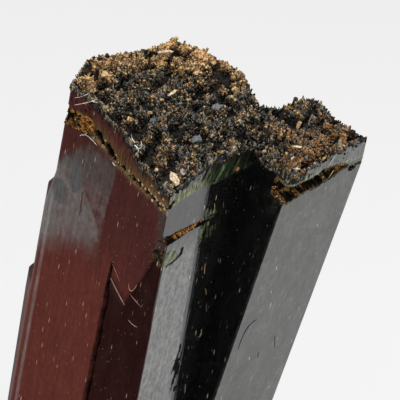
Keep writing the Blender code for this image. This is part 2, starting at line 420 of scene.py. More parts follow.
def crack_depth(a, h, line, deepest, wander=0.05):
    """A crack along points of (distance, height, half width)."""
    middle = follow(a, line) + wander * ragged(a, h * 0.0, 0.3, 5.5)
    inside = (a > line[0][0]) & (a < line[-1][0])
    return np.where(inside, deepest * ramp(1.15, 0.45, np.abs(h - middle) / follow(a, line, 2)), 0.0)


print("half way up a ramp:", ramp(0.0, 1.0, 0.5))

# %% Left face
LEFT_SEAM = (
    (0.0, -1.1), (1.4, -0.85), (3.1, -0.3), (4.2, 0.2), (4.9, 0.3), (6.9, -0.1), (9.1, -0.75),
    (10.6, -0.95), (12.8, -1.1), (13.9, -1.0), (14.4, -1.4), (15.2, -1.35), (16.5, -1.3),
)
LEFT_PITS = (  # distance along the face, height, radius
    (4.95, 0.75, 0.62), (5.5, 0.3, 0.44), (6.5, 0.35, 0.56), (7.05, -0.05, 0.58), (7.6, -0.35, 0.32),
    (9.1, -0.6, 0.36), (10.65, -0.85, 0.38), (11.2, -0.85, 0.22), (11.65, -0.85, 0.34), (12.1, -0.95, 0.24),
    (12.8, -1.0, 0.40), (13.4, -1.1, 0.26), (13.9, -1.2, 0.30), (14.6, -1.45, 0.34), (15.2, -1.35, 0.28),
    (2.6, 2.35, 0.2), (3.9, 1.75, 0.2),
)
# The rusty, pitted patch at the left end of the seam lies between these two lines.
PATCH_LOW = ((-0.5, -1.35), (0.3, -1.15), (1.4, -0.85), (3.1, -0.25), (3.9, 0.4), (4.4, 0.9))
PATCH_HIGH = ((-0.5, 1.1), (0.2, 1.25), (1.2, 1.4), (2.2, 1.8), (3.3, 2.1), (4.4, 1.5))
PATCH_PITS = (
    (0.0, 0.8, 0.6), (0.1, -0.3, 0.6), (0.8, 0.4, 0.5), (1.25, 1.0, 0.4), (1.3, -0.1, 0.45), (2.0, 0.9, 0.5),
    (2.1, 0.0, 0.4), (2.75, 1.4, 0.36), (2.9, 0.6, 0.5), (3.5, 1.3, 0.36), (3.6, 0.5, 0.34),
)
PANEL_TOP = (
    (10.0, -12.5), (11.4, -13.6), (12.6, -14.2), (13.5, -13.3), (14.3, -11.2), (15.1, -8.8), (15.4, -6.7),
    (18.0, -6.3),
)
STEP_DOTS = (
    (15.35, -7.3, 0.14), (15.2, -8.5, 0.13), (14.85, -9.9, 0.14), (14.55, -10.6, 0.12), (14.3, -11.4, 0.16),
    (13.9, -12.4, 0.13), (13.5, -13.4, 0.12), (13.1, -14.4, 0.12), (12.9, -14.9, 0.14),
)
LONG_CRACK_A = 10.0
LONG_CRACK_TOP = -12.4
LONG_CRACK_END = -46.0
print("pits of the left face:", len(LEFT_PITS) + len(PATCH_PITS))


# %% Relief of the left face
def crack_a(h):
    """The long crack's distance along the face: it wanders a little on its way down."""
    return LONG_CRACK_A - 0.012 * (-12.5 - h) + 0.05 * np.sin(h * 1.3) + 0.03 * np.sin(h * 3.7)


def panel_depth(a, h):
    """The sunken panel to the right of the long crack. Its upper right edge is a sharp step."""
    top = follow(a, PANEL_TOP)
    fade = np.interp(a, (12.4, 13.2), (4.5, 0.12))
    below = np.clip((top - h) / fade, 0.0, 1.0)
    base = np.interp(a, (10.0, 15.0, 16.6), (0.34, 0.5, 0.75))
    base = base * ramp(-12.0, -18.0, h) + 0.35 * ramp(13.0, 13.6, a) * (1.0 - ramp(-12.0, -18.0, h))
    return np.where(a > crack_a(h), base * below, 0.0)


def left_relief(a, h):
    """How deep each place of the left face lies."""
    seam = follow(a, LEFT_SEAM) + 0.08 * ragged(a, h * 0.0, 0.5, 2.2)
    depth = 0.13 * np.exp(-(((h - seam) / 0.12) ** 2))
    depth += 0.10 * ramp(0.5, 0.1, h - seam) * ramp(-0.15, 0.05, h - seam)
    depth = np.maximum(depth, pit_depth(a, h, LEFT_PITS + PATCH_PITS))
    depth = np.maximum(depth, panel_depth(a, h))
    depth = np.maximum(depth, pit_depth(a, h, STEP_DOTS) * 1.6)
    crack_half = np.interp(-h, (12.4, 13.5, 17.0, 28.0, 34.0, 46.0), (0.04, 0.10, 0.15, 0.19, 0.12, 0.03))
    crack = ramp(1.2, 0.4, np.abs(a - crack_a(h) + 0.04) / crack_half)
    crack = np.where((h < LONG_CRACK_TOP) & (h > LONG_CRACK_END), crack, 0.0)
    return np.where(a > -0.9, np.maximum(depth, crack), 0.0)


print("the long crack is", round(LONG_CRACK_TOP - LONG_CRACK_END, 1), "mm long")

# %% Front face
FRONT_PITS = (
    (0.35, -0.95, 0.40), (0.75, -0.62, 0.30), (1.25, -0.25, 0.16), (1.9, -0.35, 0.12),
    (0.15, -7.2, 0.45), (0.1, -6.7, 0.35),
)
FRONT_CRACK = (  # distance along the face, height, half the width
    (-0.6, -5.5, 0.18), (0.6, -5.52, 0.28), (1.8, -5.35, 0.27), (2.8, -5.2, 0.2), (4.9, -4.95, 0.08),
    (6.9, -4.78, 0.04),
)
SMALL_CRACK = (
    (1.0, -8.85, 0.04), (1.6, -8.7, 0.07), (2.1, -8.55, 0.10), (2.7, -8.2, 0.15), (2.95, -7.95, 0.16),
)
SMALL_CRACK_TOP = (3.0, -7.6, 0.13)  # it ends in a slot this half width, and four times as tall
FRONT_SEAM = ((-0.6, -1.05), (0.0, -0.95), (2.0, -0.4), (4.4, 0.0), (13.0, 0.0))


def blade_gaps(a, h):
    """The dark gaps between the upright blades of the front face's cap."""
    between = streaks(a - 0.45 * h, h, 0.42, 3.4, 7.7)
    return ramp(0.08, 0.26, between) * ramp(0.2, 1.0, h)


def from_slot(a, h):
    """How far a place lies from the middle of the slot, where 1 is the slot's edge."""
    slot_a, slot_h, half = SMALL_CRACK_TOP
    return np.hypot((a - slot_a) / half, (h - slot_h) / (4.0 * half))


def front_relief(a, h):
    """How deep each place of the main prism's front face lies."""
    seam = follow(a, FRONT_SEAM) + 0.10 * ragged(a, h * 0.0, 0.6, 6.1)
    depth = 0.07 * np.exp(-(((h - seam) / 0.12) ** 2)) * ramp(0.3, 1.0, a)
    depth = np.maximum(depth, pit_depth(a, h, FRONT_PITS))
    depth = np.maximum(depth, crack_depth(a, h, FRONT_CRACK, 0.9))
    depth = np.maximum(depth, crack_depth(a, h, SMALL_CRACK, 0.3, 0.02))
    depth = np.maximum(depth, 0.3 * ramp(1.0, 0.5, from_slot(a, h)))
    depth = np.maximum(depth, 0.3 * blade_gaps(a, h))
    closed = UPPER_STEP * (1.0 - a / front_face.length) * ramp(5.4, 7.4, a)
    depth = np.maximum(depth, closed * ramp(FRONT_CRACK_LEVEL - SEAM - 4.0, FRONT_CRACK_LEVEL - SEAM, h))
    return np.where((a > -0.7) & (a < 13.9), depth, 0.0)


print("cracks of the front face are", FRONT_CRACK[-1][0], "and", SMALL_CRACK[-1][0], "mm long")

# %% Twin's face
CAP_EDGE = (  # the underside of the cap that overhangs the hollow
    (-1.2, 1.1), (-0.8, 1.0), (0.6, 0.55), (1.2, 0.35), (1.8, 0.5), (3.2, 0.5), (4.3, 0.7), (4.8, 1.1),
    (5.6, 0.95), (6.6, 1.0), (7.4, 0.8), (8.1, 0.6),
)
HOLLOW_FLOOR = (
    (-1.2, -0.9), (-0.5, -1.1), (0.3, -1.5), (1.1, -1.65), (1.7, -1.45), (2.3, -1.2), (2.8, -1.0),
    (3.5, -1.0), (4.9, -0.9), (5.5, -0.6), (6.3, -0.5), (7.3, -0.1), (8.1, 0.25),
)
TWIN_PITS = ((9.35, -0.4, 0.42), (9.0, -0.35, 0.3), (8.45, 0.3, 0.16))


def hollow_room(a, h):
    """How far a place lies inside the hollow's edge. It is negative outside."""
    wobble = 0.16 * ragged(a, h, 0.5, 1.3) + 0.10 * ragged(a, h, 0.18, 4.4)
    above_floor = h - follow(a, HOLLOW_FLOOR) + wobble
    under_cap = follow(a, CAP_EDGE) - h + 0.6 * wobble
    return np.where(a < 8.2, np.minimum(above_floor, under_cap), -1.0)


def twin_relief(a, h):
    """How deep each place of the second prism's face lies."""
    deepest = np.interp(a, (-1.0, 2.0, 5.5, 8.2), (1.5, 1.2, 0.9, 0.3))
    depth = deepest * ramp(0.02, 0.28, hollow_room(a, h)) * ramp(8.3, 7.9, a)
    line = np.interp(a, (8.1, 9.0, 10.6), (0.4, -0.1, 0.1))
    depth = np.maximum(depth, 0.10 * np.exp(-(((h - line) / 0.1) ** 2)) * ramp(7.9, 8.2, a))
    depth = np.maximum(depth, pit_depth(a, h, TWIN_PITS))
    blades = ramp(1.4, 2.6, h) * (0.5 + 0.5 * streaks(a, h, 0.45, 3.0, 2.9))
    depth = np.maximum(depth, 0.35 * blades)
    return np.where(a > -1.3, depth, 0.0)


print("pits of the twin's face:", len(TWIN_PITS))

# %% [markdown]
# ## Lofting and carving
# Each prism is lofted: rings of points go up its sides, close together where the seam and the cracks
# need them. Above the last full row, the points of every column are spread between there and the
# column's own rim, so the ragged rim is part of the grid. Carving then pushes each point in until it
# lies as deep below its face as the relief says. A Boolean cut for every pit would do the same, but a
# hundred small cuts leave slivers, and a pushed grid stays clean.

# %% Rows and columns
BODY_ROWS = (  # from this height, to this height, in this many rows
    (0.0, 24.0, 16), (24.0, 38.0, 35), (38.0, 45.4, 30), (45.4, 49.1, 30), (49.1, 50.5, 26), (50.5, 52.5, 17),
)
ZONE_START = 52.5  # the zone of the seam and the rim
ZONE_ROWS = 46
END_RINGS = 36
EDGE_POINT_SPACING = 0.2
FLAT_WIDTH = 1.4  # a flat's width against how far it reaches along each face
CARVE_REACH = 2.6  # only points this close behind a face belong to it
RIM_EVENING = 9  # the rim's height is the mean over this many columns
RIM_ROUGHNESS = 0.26
print("rows:", sum(rows for _, _, rows in BODY_ROWS) + ZONE_ROWS)


# %% Outline, rim and carving
def outline(corners, flats, columns, widest):
    """Points round a prism, with the face that each point belongs to: even points along each face, and
    a narrow flat on each edge, which belongs to the face before it. The widest flats set its points."""
    points, owners = [], []
    for i, corner in enumerate(corners):
        before, after = corners[i - 1], corners[(i + 1) % len(corners)]
        back = (before - corner) / np.linalg.norm(before - corner)
        along = (after - corner) / np.linalg.norm(after - corner)
        flat_start, start = corner + back * flats[i], corner + along * flats[i]
        end = after - along * flats[(i + 1) % len(corners)]
        extra = round(FLAT_WIDTH * widest[i] / EDGE_POINT_SPACING)
        if extra > 1:
            points.append(flat_start + (start - flat_start) * np.linspace(0, 1, extra + 1)[1:-1, None])
            owners += [(i - 1) % len(corners)] * (extra - 1)
        points.append(start + (end - start) * np.linspace(0, 1, columns[i] + 1)[:, None])
        owners += [i] * (columns[i] + 1)
    return np.concatenate(points), np.array(owners)


def jagged(x, y):
    """How far the broken rim stands above its own even line."""
    places = flat_places(x, y)
    return RIM_ROUGHNESS * (0.7 * patches(places, 0.62, 1.9) + 0.6 * patches(places, 0.21, 8.8))


def rim_heights(points, faces, end_at):
    """The height of each column: from the face's own rim where there is one, or from the rough end."""
    x, y = points[:, 0], points[:, 1]
    heights = end_at(x, y)
    for face in faces:
        a, _, out = face.place(np.stack([x, y, np.full_like(x, SEAM)], 1))
        on_face = (np.abs(out) < 0.3) & (a > -0.1) & (a < face.length + 0.1)
        heights[on_face] = SEAM + follow(a[on_face], face.rim)
    beyond = RIM_EVENING // 2
    padded = np.concatenate([heights[-beyond:], heights, heights[:beyond]])
    even = np.convolve(padded, np.ones(RIM_EVENING) / RIM_EVENING, "valid")
    return even + jagged(x, y)


def carve(points, face, relief):
    """Pushes the points near a face in, to the depth that its relief gives."""
    a, h, out = face.place(points)
    near = (out > -CARVE_REACH) & (a > -1.5) & (a < face.length + 1.5)
    out[near] = np.minimum(out[near], -relief(a[near], h[near]))
    points[near] = face.origin + (face.axes @ np.stack([a, h, out])[:, near]).T


base_outline, _ = outline(main_corners(0.0), MAIN_FLATS, MAIN_COLUMNS, MAIN_FLATS)
print("points round the main prism:", len(base_outline))

# %% [markdown]
# ## The ground of the crust
# Between the tufts of small crystals the real end drops into dark crevices and a few deeper holes. A
# Voronoi pattern gives the crevices: a place that is as far from two cell centres lies between tufts.

# %% Crevices and tufts
HOLES = (  # x, y, radius
    (-7.2, 1.4, 0.75), (3.7, 3.5, 0.7), (-2.9, 0.5, 0.6), (-3.8, -2.2, 0.6), (6.0, 0.8, 0.5),
    (0.9, -1.9, 0.5), (-1.0, 4.6, 0.5), (-4.8, 4.2, 0.5), (2.4, 0.3, 0.45), (-0.6, -4.4, 0.45),
)
TUFT_WIDTH = 1.9
TUFT_RISE = 0.8
CREVICE_DEPTH = 1.2
FILLED_PLACE = (15.7, -0.8, 1.4)  # x, y and radius of a place with hardly any crevices


def crevices(x, y):
    """How deep a place lies between the tufts of small crystals, from 0 to 1."""
    places = flat_places(x, y)
    bent = places + 0.9 * np.stack([patches(places, 1.1, 5.9), patches(places, 1.1, 2.6), places[:, 2]], 1)
    gap = np.array([np.diff(voronoi(Vector(spot))[0][:2])[0] for spot in bent / TUFT_WIDTH])
    deep = ramp(0.40, 0.08, gap) * ramp(-0.35, 0.1, patches(places, 1.9, 9.5))
    for hole in HOLES:
        deep = np.maximum(deep, 1.2 * lump(x, y, *hole))
    return deep * (1.0 - 0.85 * lump(x, y, *FILLED_PLACE))


def bed_level(x, y, end_at):
    """The ground that the crust grows on: tufts, and the crevices and holes between them."""
    places = flat_places(x, y)
    level = end_at(x, y) + 0.15 + TUFT_RISE * patches(places, 1.0, 4.2) + 0.25 * patches(places, 0.45, 7.3)
    return level - CREVICE_DEPTH * crevices(x, y)


print("holes in the crust:", len(HOLES))


# %% The end of a prism, and its polygons
def end_rings(edge, end_at):
    """Rings of points from the rim inwards, and the middle point. They settle on the bed at once."""
    centre = edge.mean(axis=0)
    inner = []
    for ring in range(1, END_RINGS):
        flat = edge + (centre - edge) * (ring / END_RINGS)
        settled = min(ring / 2.0, 1.0)
        level = edge[:, 2] * (1 - settled) + bed_level(flat[:, 0], flat[:, 1], end_at) * settled
        inner.append(np.column_stack([flat[:, :2], level]))
    middle = bed_level(centre[:1], centre[1:2], end_at)
    return [*inner, [[centre[0], centre[1], middle[0]]]]


def ring_polygons(count, ring_count):
    """Squares between the rings, triangles round the middle point, and the flat cut last."""
    here = np.arange(count)
    after = (here + 1) % count
    polygons = []
    for ring in range(ring_count - 1):
        below, above = ring * count, (ring + 1) * count
        polygons += np.column_stack([below + here, below + after, above + after, above + here]).tolist()
    last = (ring_count - 1) * count
    polygons += [[last + i, last + (i + 1) % count, ring_count * count] for i in range(count)]
    polygons.append(list(range(count))[::-1])
    return polygons


print("rings on an end:", END_RINGS)


# %% Both prisms as closed meshes
def loft(corners_at, flats_at, columns, faces, end_at, reliefs):
    """A prism's points ring by ring from its base, its polygons, the face that each point of a ring
    belongs to, and the number of polygons on its sides."""
    heights = np.concatenate([np.linspace(low, high, rows, endpoint=False) for low, high, rows in BODY_ROWS])
    rings = []
    widest = flats_at(0.0)
    for height in heights:
        ring, _ = outline(corners_at(height), flats_at(height), columns, widest)
        rings.append(np.column_stack([ring, np.full(len(ring), height)]))
    low, owners = outline(corners_at(ZONE_START), flats_at(ZONE_START), columns, widest)
    high, _ = outline(corners_at(SEAM), flats_at(SEAM), columns, widest)
    rim = rim_heights(high, faces, end_at)
    for share in np.linspace(0.0, 1.0, ZONE_ROWS):
        height = ZONE_START + (rim - ZONE_START) * share
        climb = np.minimum((height - ZONE_START) / (SEAM - ZONE_START), 1.0)
        rings.append(np.column_stack([low + (high - low) * climb[:, None], height]))
    sides = np.concatenate(rings)
    for face, relief in zip(faces, reliefs):
        carve(sides, face, relief)
    count = len(low)
    points = np.concatenate([sides, *end_rings(sides[-count:], end_at)])
    polygons = ring_polygons(count, len(rings) + END_RINGS - 1)
    return points, polygons, owners, (len(rings) - 1) * count


main_loft = loft(
    main_corners, main_flats, MAIN_COLUMNS, (left_face, front_face), main_end, (left_relief, front_relief)
)
twin_loft = loft(twin_corners, lambda _: TWIN_FLATS, TWIN_COLUMNS, (twin_face,), twin_end, (twin_relief,))
print("main prism:", len(main_loft[0]), "points; twin:", len(twin_loft[0]), "points")

# %% [markdown]
# ## What colour lies where
# Colour that is fixed to a place is worked out point by point and stored on the mesh as an attribute.
# Some of it is the crystal's own, such as the green halo along the seam and the rust in the pits. Some of
# it is painted light: maroon and a grey sheen for the left face's reflections, a highlight on its edge,
# dust and a grey sheen on the front face and the caps, and black shade in pits, cracks and the hollow.
# Four more attributes, the marks, say where the crystal is rusty, fibrous or dull, and how warm its rust
# is. An image would need a flat unfolding of the faces, and it would show its pixels close up. Fine
# streaks and specks are left to the material, because they are smaller than the grid.

# %% Colours
BLACK = (0.006, 0.006, 0.006)
MAROON_HIGH = (0.090, 0.0245, 0.021)
MAROON_LOW = (0.158, 0.037, 0.027)
PANEL_DARK = (0.028, 0.006, 0.005)
STRIP_MAROON = (0.050, 0.016, 0.013)
SHEEN_GREY = (0.226, 0.206, 0.198)
SHEEN_GREY_HIGH = (0.118, 0.112, 0.105)
SMUDGE = (0.130, 0.132, 0.134)
BEVEL_GREY = (0.080, 0.064, 0.062)
OLIVE = (0.150, 0.090, 0.036)
SEAM_TAN = (0.400, 0.275, 0.115)
RUST = (0.110, 0.045, 0.014)
RUST_BRIGHT = (0.520, 0.230, 0.050)
PIT_BLACK = (0.004, 0.0035, 0.003)
PALE_GREEN = (0.330, 0.380, 0.230)
PALE_YELLOW = (0.420, 0.400, 0.200)
GREEN = (0.040, 0.075, 0.022)
BOTTLE_GREEN = (0.012, 0.022, 0.009)
MOSS = (0.110, 0.145, 0.060)
FRONT_DUST_AND_SHEEN = (0.138, 0.137, 0.134)
CAP_GREY = (0.150, 0.155, 0.145)
TWIN_BLOOM = (0.034, 0.033, 0.030)
BARK = (0.016, 0.013, 0.010)
EDGE_HIGHLIGHT = (0.420, 0.400, 0.380)


def mix(first, second, share):
    """Colours between two colours or rows of colours, by a share for each point."""
    first = np.broadcast_to(np.asarray(first, float), (len(share), 3))
    return first + (np.asarray(second, float) - first) * share[:, None]


def rust_colour(a, h):
    colour = mix(RUST, RUST_BRIGHT, ramp(-0.15, 0.55, ragged(a, h, 0.45, 8.3)))
    return mix(colour, PIT_BLACK, ramp(0.0, 0.5, ragged(a, h, 0.38, 12.9)))


print("rust runs from", RUST, "to", RUST_BRIGHT)

# %% Film and haze on the left face
SHEEN_RIGHT = ((-16.0, 7.7), (-11.7, 7.7), (-6.3, 7.85), (-3.2, 8.2), (-0.7, 8.2), (2.0, 8.4))
SHEEN_TOP = ((-0.5, -6.3), (0.4, -5.6), (1.3, -4.0), (2.4, -2.9), (4.1, -1.4), (5.5, -0.9), (9.5, -0.9))
SHEEN_BOTTOM = ((0.0, -17.4), (1.0, -16.6), (2.2, -15.6), (3.4, -14.8), (5.2, -13.9), (7.7, -12.9))
THICK_EDGE = (
    (-16.0, 7.3), (-12.3, 6.9), (-11.3, 7.4), (-10.4, 7.34), (-9.2, 6.6), (-8.1, 5.6), (-7.1, 4.6),
    (-6.0, 4.1), (-3.0, 5.2),
)
SMUDGES = ((1.05, -9.2, 1.15, 1.55), (2.95, -6.4, 0.85, 1.65))  # place, half width, half height


def painted_maroon_reflection(a, h):
    """Maroon painted for the reflection that the left face shows: painted reflection. It is darker high up
    and faintly streaked.
    """
    paint = mix(MAROON_HIGH, MAROON_LOW, ramp(-4.0, -20.0, h + 0.35 * (a - 8.0)))
    paint = paint * (1.0 + 0.07 * streaks(a, h, 0.3, 6.0, 11.2))[:, None]
    return paint * (1.0 + 0.10 * streaks(a, h, 1.6, 4.0, 3.9))[:, None]


def add_painted_sheen(a, h, paint):
    """A grey sheen painted over the maroon's upper left for the reflection there: painted reflection. It is
    thicker in one part and darker high up, and two smudges lie in it.
    """
    right = follow(h, SHEEN_RIGHT) + 0.08 * ragged(a * 0.0, h, 0.6, 3.1)
    top = follow(a, SHEEN_TOP) + 0.3 * ragged(a, h, 1.3, 5.1) + 0.5 * ragged(a, h, 0.4, 1.1)
    top = top + 0.9 * streaks(a, h, 0.16, 1.4, 9.2)
    bottom = follow(a, SHEEN_BOTTOM) + 0.7 * ragged(a, h * 0.4, 0.6, 6.6)
    sheen = ramp(0.15, -0.15, a - right) * ramp(0.8, -1.0, h - top) * ramp(-1.6, 3.2, h - bottom)
    thick_edge = follow(h, THICK_EDGE) + 0.1 * ragged(a * 0.0, h, 0.5, 8.1)
    thick = np.interp(-h, (2.0, 8.0), (0.05, 0.46)) * ramp(0.16, -0.12, a - thick_edge)
    high = ramp(-7.5, -3.5, h)
    thick = 0.34 + thick + 0.25 * ramp(2.0, 0.3, a) + 0.3 * high
    blots = 1.2 * ragged(a, h, 0.9, 2.4) + ragged(a, h, 0.35, 8.8) + 0.9 * streaks(a, h, 0.2, 1.5, 5.5)
    paint = mix(paint, mix(SHEEN_GREY, SHEEN_GREY_HIGH, high), np.clip(sheen * (thick + 0.22 * blots), 0.0, 1.0))
    for centre_a, centre_h, wide, tall in SMUDGES:
        away = np.hypot((a - centre_a) / wide, (h - centre_h) / tall) + 0.07 * ragged(a, h, 0.5, 9.4)
        paint = mix(paint, SMUDGE, 0.92 * ramp(1.06, 0.96, away))
    return paint


print("smudges in the haze:", len(SMUDGES))

# %% Lines and worn places on the left face
SHORT_LINE = ((4.2, -7.1), (4.42, -10.4))  # its upper and its lower end
BEVEL_LEFT = ((-10.5, 16.0), (-8.7, 15.2), (-5.7, 15.15), (-2.2, 14.65), (-1.2, 14.9), (0.0, 15.6))


def add_lines(a, h, paint):
    """A short dark line in the grey sheen, and a highlight painted along the edge on the left."""
    (top_a, top_h), (low_a, low_h) = SHORT_LINE
    line_a = np.interp(-h, (-top_h, -low_h), (top_a, low_a))
    line = ramp(0.12, 0.03, np.abs(a - line_a)) * ((h < top_h) & (h > low_h))
    paint = mix(paint, PIT_BLACK, 0.9 * line)
    edge_light = ramp(0.30, 0.10, np.abs(a - 0.12)) * ramp(-9.0, -10.5, h)
    return mix(paint, EDGE_HIGHLIGHT, 0.45 * edge_light * (0.8 + 0.5 * streaks(a, h, 0.3, 1.6, 4.1)))


def add_panel(a, h, paint):
    """The sunken panel, painted dark for its darker reflection, its long crack, painted black for its shade,
    the bevel, painted grey for its sheen, and the chipped place above its step.
    """
    above_panel = h - follow(a, PANEL_TOP)
    sunken = (a > crack_a(h)) & (above_panel < 0.1)
    dark = sunken * ramp(0.0, 1.0, -above_panel / np.interp(a, (12.4, 13.4), (3.2, 0.3)))
    # The panel and a strip left of its crack are painted dark for the darker reflection of the turned panel:
    # painted reflection.
    paint = mix(paint, PANEL_DARK, dark)
    beside = ramp(0.35, 0.0, crack_a(h) - a) * ramp(-12.0, -14.0, h) * (a < crack_a(h) + 0.02)
    paint = mix(paint, PANEL_DARK, 0.6 * beside)
    crack = ramp(0.26, 0.12, np.abs(a - crack_a(h) + 0.05)) * ramp(-12.2, -13.2, h) * ramp(-46.0, -40.0, h)
    # The long crack is painted black for the shade in it: painted shade.
    paint = mix(paint, BLACK, crack)
    bevel = ramp(-0.2, 0.4, a - follow(h, BEVEL_LEFT) + 0.25 * ragged(a, h, 0.5, 1.6))
    bevel = bevel * (h > -8.6) * (h < 0.6) * (1.0 - dark)
    wear_and_sheen = 0.6 + 0.6 * ragged(a, h, 0.35, 4.4) + 0.5 * streaks(a, h, 0.2, 1.2, 7.3)
    # The bevel is painted grey for its sheen: painted reflection.
    paint = mix(paint, BEVEL_GREY, np.clip(wear_and_sheen, 0.0, 1.0) * bevel)
    chipped = ramp(14.6, 15.4, a + 0.5 * ragged(a, h, 0.4, 2.2)) * ramp(-9.2, -8.4, h) * ramp(-6.0, -6.8, h)
    return mix(paint, mix(BARK, OLIVE, ramp(-0.1, 0.4, ragged(a, h, 0.3, 7.4))), chipped)


def left_paint(a, h):
    return add_panel(a, h, add_lines(a, h, add_painted_sheen(a, h, painted_maroon_reflection(a, h))))


print("points of the bevel's edge:", len(BEVEL_LEFT))


# %% The seam of the left face
def add_cap(a, h, above, paint):
    """The fibrous cap above the seam: an olive band along it, and dark bark under the rim."""
    fibres = streaks(a, h, 0.16, 2.2, 14.5) + 0.6 * streaks(a, h, 0.4, 1.2, 6.2)
    olive = ramp(2.6, 0.5, above + 1.1 * fibres) * ramp(-0.15, 0.02, above)
    paint = mix(paint, OLIVE, 0.8 * olive)
    brushed = ramp(1.3, 0.2, follow(a, LEFT_RIM) - h + 1.2 * fibres) * ramp(8.0, 11.0, a)
    paint = mix(paint, BARK, 0.85 * brushed)
    return np.clip(paint * (1.0 + ramp(0.0, 0.3, above) * 0.45 * fibres)[:, None], 0.0, 1.0)


def left_seam_paint(a, h, paint):
    """Paint and marks of the cap, the tan line of the seam, the rusty patch, and the pits, which are painted
    black for their shade.
    """
    above = h - follow(a, LEFT_SEAM)
    paint = add_cap(a, h, above, paint)
    lace = ragged(a, h, 0.28, 1.8)
    tan = np.exp(-((above / 0.45) ** 2)) * ramp(3.6, 4.6, a)
    paint = mix(paint, SEAM_TAN, np.clip(tan * (0.7 + 0.9 * lace), 0.0, 0.9))
    rough_edge = 0.25 * ragged(a, h, 0.4, 6.0)
    patch = ramp(-0.15, 0.15, h - follow(a, PATCH_LOW) + rough_edge) * ramp(4.4, 4.0, a + rough_edge)
    patch = patch * ramp(0.15, -0.15, h - follow(a, PATCH_HIGH) + rough_edge)
    pits = pit_depth(a, h, LEFT_PITS)
    hole = ramp(0.05, 0.15, pits) * (a > 4.2)
    hole = np.maximum(hole, ramp(0.12, 0.25, pit_depth(a, h, PATCH_PITS)) * ramp(2.4, 1.6, a + 0.6 * h))
    paint = mix(paint, rust_colour(a, h), 0.9 * patch)
    green_edge = ramp(0.75, 0.3, a) * ramp(-1.3, -0.9, h) * ramp(1.5, 1.0, h)
    paint = mix(paint, BOTTLE_GREEN, 0.8 * green_edge)
    # The pits and the holes of the rusty patch are painted black for the shade in them: painted shade.
    paint = mix(paint, PIT_BLACK, hole)
    crumbs = np.exp(-((above / 0.36) ** 2)) * ramp(4.0, 4.6, a) * (0.75 + 0.9 * lace)
    rusty = np.maximum(0.95 * patch, crumbs) * (1.0 - ramp(0.2, 0.3, pits)) * (1.0 - hole)
    warm = patch * (0.55 + 0.7 * ragged(a, h, 0.5, 3.3)) + 0.5 * patch * ramp(1.6, 2.6, a)
    warm = np.maximum(warm, 0.15 + 0.5 * lace)
    return paint, np.clip(rusty, 0.0, 1.0), 0.6 * ramp(0.0, 0.3, above), np.zeros_like(a), warm


print("points of the left seam:", len(LEFT_SEAM))

# %% Bloom, cap and green halo on the front face
FRONT_HALO = (1.3, -7.8, 1.4, 1.2)
GREEN_PATCH_LOW = ((4.8, -6.2), (5.4, -7.6), (6.2, -7.7), (7.2, -7.3), (8.2, -7.9), (8.8, -6.6))
GREEN_PATCH_HIGH = ((4.8, -5.7), (5.6, -4.7), (6.1, -3.7), (7.0, -4.3), (8.3, -4.2), (8.8, -4.9))


def dust_and_sheen(a, h):
    """Black, with grey dust and painted sheen on the left that stops where the dark reflection begins and is
    weaker higher up. Low down its right edge is frayed and painted black, to carry the dark reflection on:
    painted reflection.
    """
    dust_and_sheen_amount = 1.0 + 0.3 * streaks(a, h, 0.9, 2.0, 7.9) + 0.22 * streaks(a, h, 0.3, 0.5, 2.3)
    band = a + 0.045 * (h + 5.0) + 0.16 * ragged(a, h, 0.5, 9.8)
    dust_and_sheen_amount = dust_and_sheen_amount * ramp(4.98, 4.74, band) * (1.0 - 0.85 * ramp(-9.0, -4.8, h))
    fray = streaks(a - 0.135 * h, h, 0.24, 2.0, 12.5) + 0.45 * ramp(4.3, 5.1, band)
    fray = ramp(0.12, 0.25, fray) * ramp(4.0, 4.5, band) * ramp(5.6, 5.2, band + 0.5 * ragged(a, h, 0.4, 2.8))
    fray = fray * ramp(-20.5, -22.5, h) * ramp(-29.5, -26.5, h)
    return mix(np.outer(dust_and_sheen_amount, FRONT_DUST_AND_SHEEN) + np.array(BLACK), BLACK, fray), fray


def add_front_cap(a, h, fibres, combs, paint):
    """Blades above the seam, painted grey for their sheen left of the dark reflection, a pale halo, green
    stripes and dark bark, with their marks.
    """
    above = h - follow(a, FRONT_SEAM) - 0.2 * ragged(a, h, 0.6, 4.9)
    cap = ramp(0.1, 0.7, above)
    blades = cap * ramp(6.4, 5.2, a)
    # The blades are painted grey for the sheen on them: painted reflection.
    paint = mix(paint, CAP_GREY, np.clip(blades * (0.55 + 0.5 * fibres), 0.0, 1.0))
    halo = ramp(-0.5, -0.05, above) * ramp(1.3, 0.3, above + 0.9 * fibres) * ramp(5.9, 4.6, a)
    halo = np.clip(halo * (0.75 + 0.5 * fibres), 0.0, 1.0)
    paint = mix(paint, mix(PALE_GREEN, PALE_YELLOW, ramp(-0.2, 0.4, ragged(a, h, 0.5, 9.9))), 0.85 * halo)
    wider = ramp(-0.6, 0.1, above) * ramp(2.5, 0.9, above + 0.8 * fibres) * (0.8 + 0.6 * fibres)
    wider = np.clip(wider, 0.0, 1.0)
    striped = wider * (ramp(4.2, 5.2, a) * ramp(11.4, 9.8, a))
    stripes = ramp(-0.02, 0.28, combs + 0.2 * fibres) * (1.0 - 0.5 * ramp(7.0, 9.5, a))
    paint = mix(paint, mix(BOTTLE_GREEN, MOSS, stripes), striped)
    gaps = blade_gaps(a, h) * ramp(6.8, 5.6, a)
    bark = np.clip(gaps + ramp(1.7, 2.5, h + 1.1 * fibres), 0.0, 1.0)
    dull = np.maximum.reduce([bark, halo, cap * ramp(5.0, 5.8, a), striped])
    return mix(paint, BARK, bark), np.maximum.reduce([cap, halo, wider]), dull


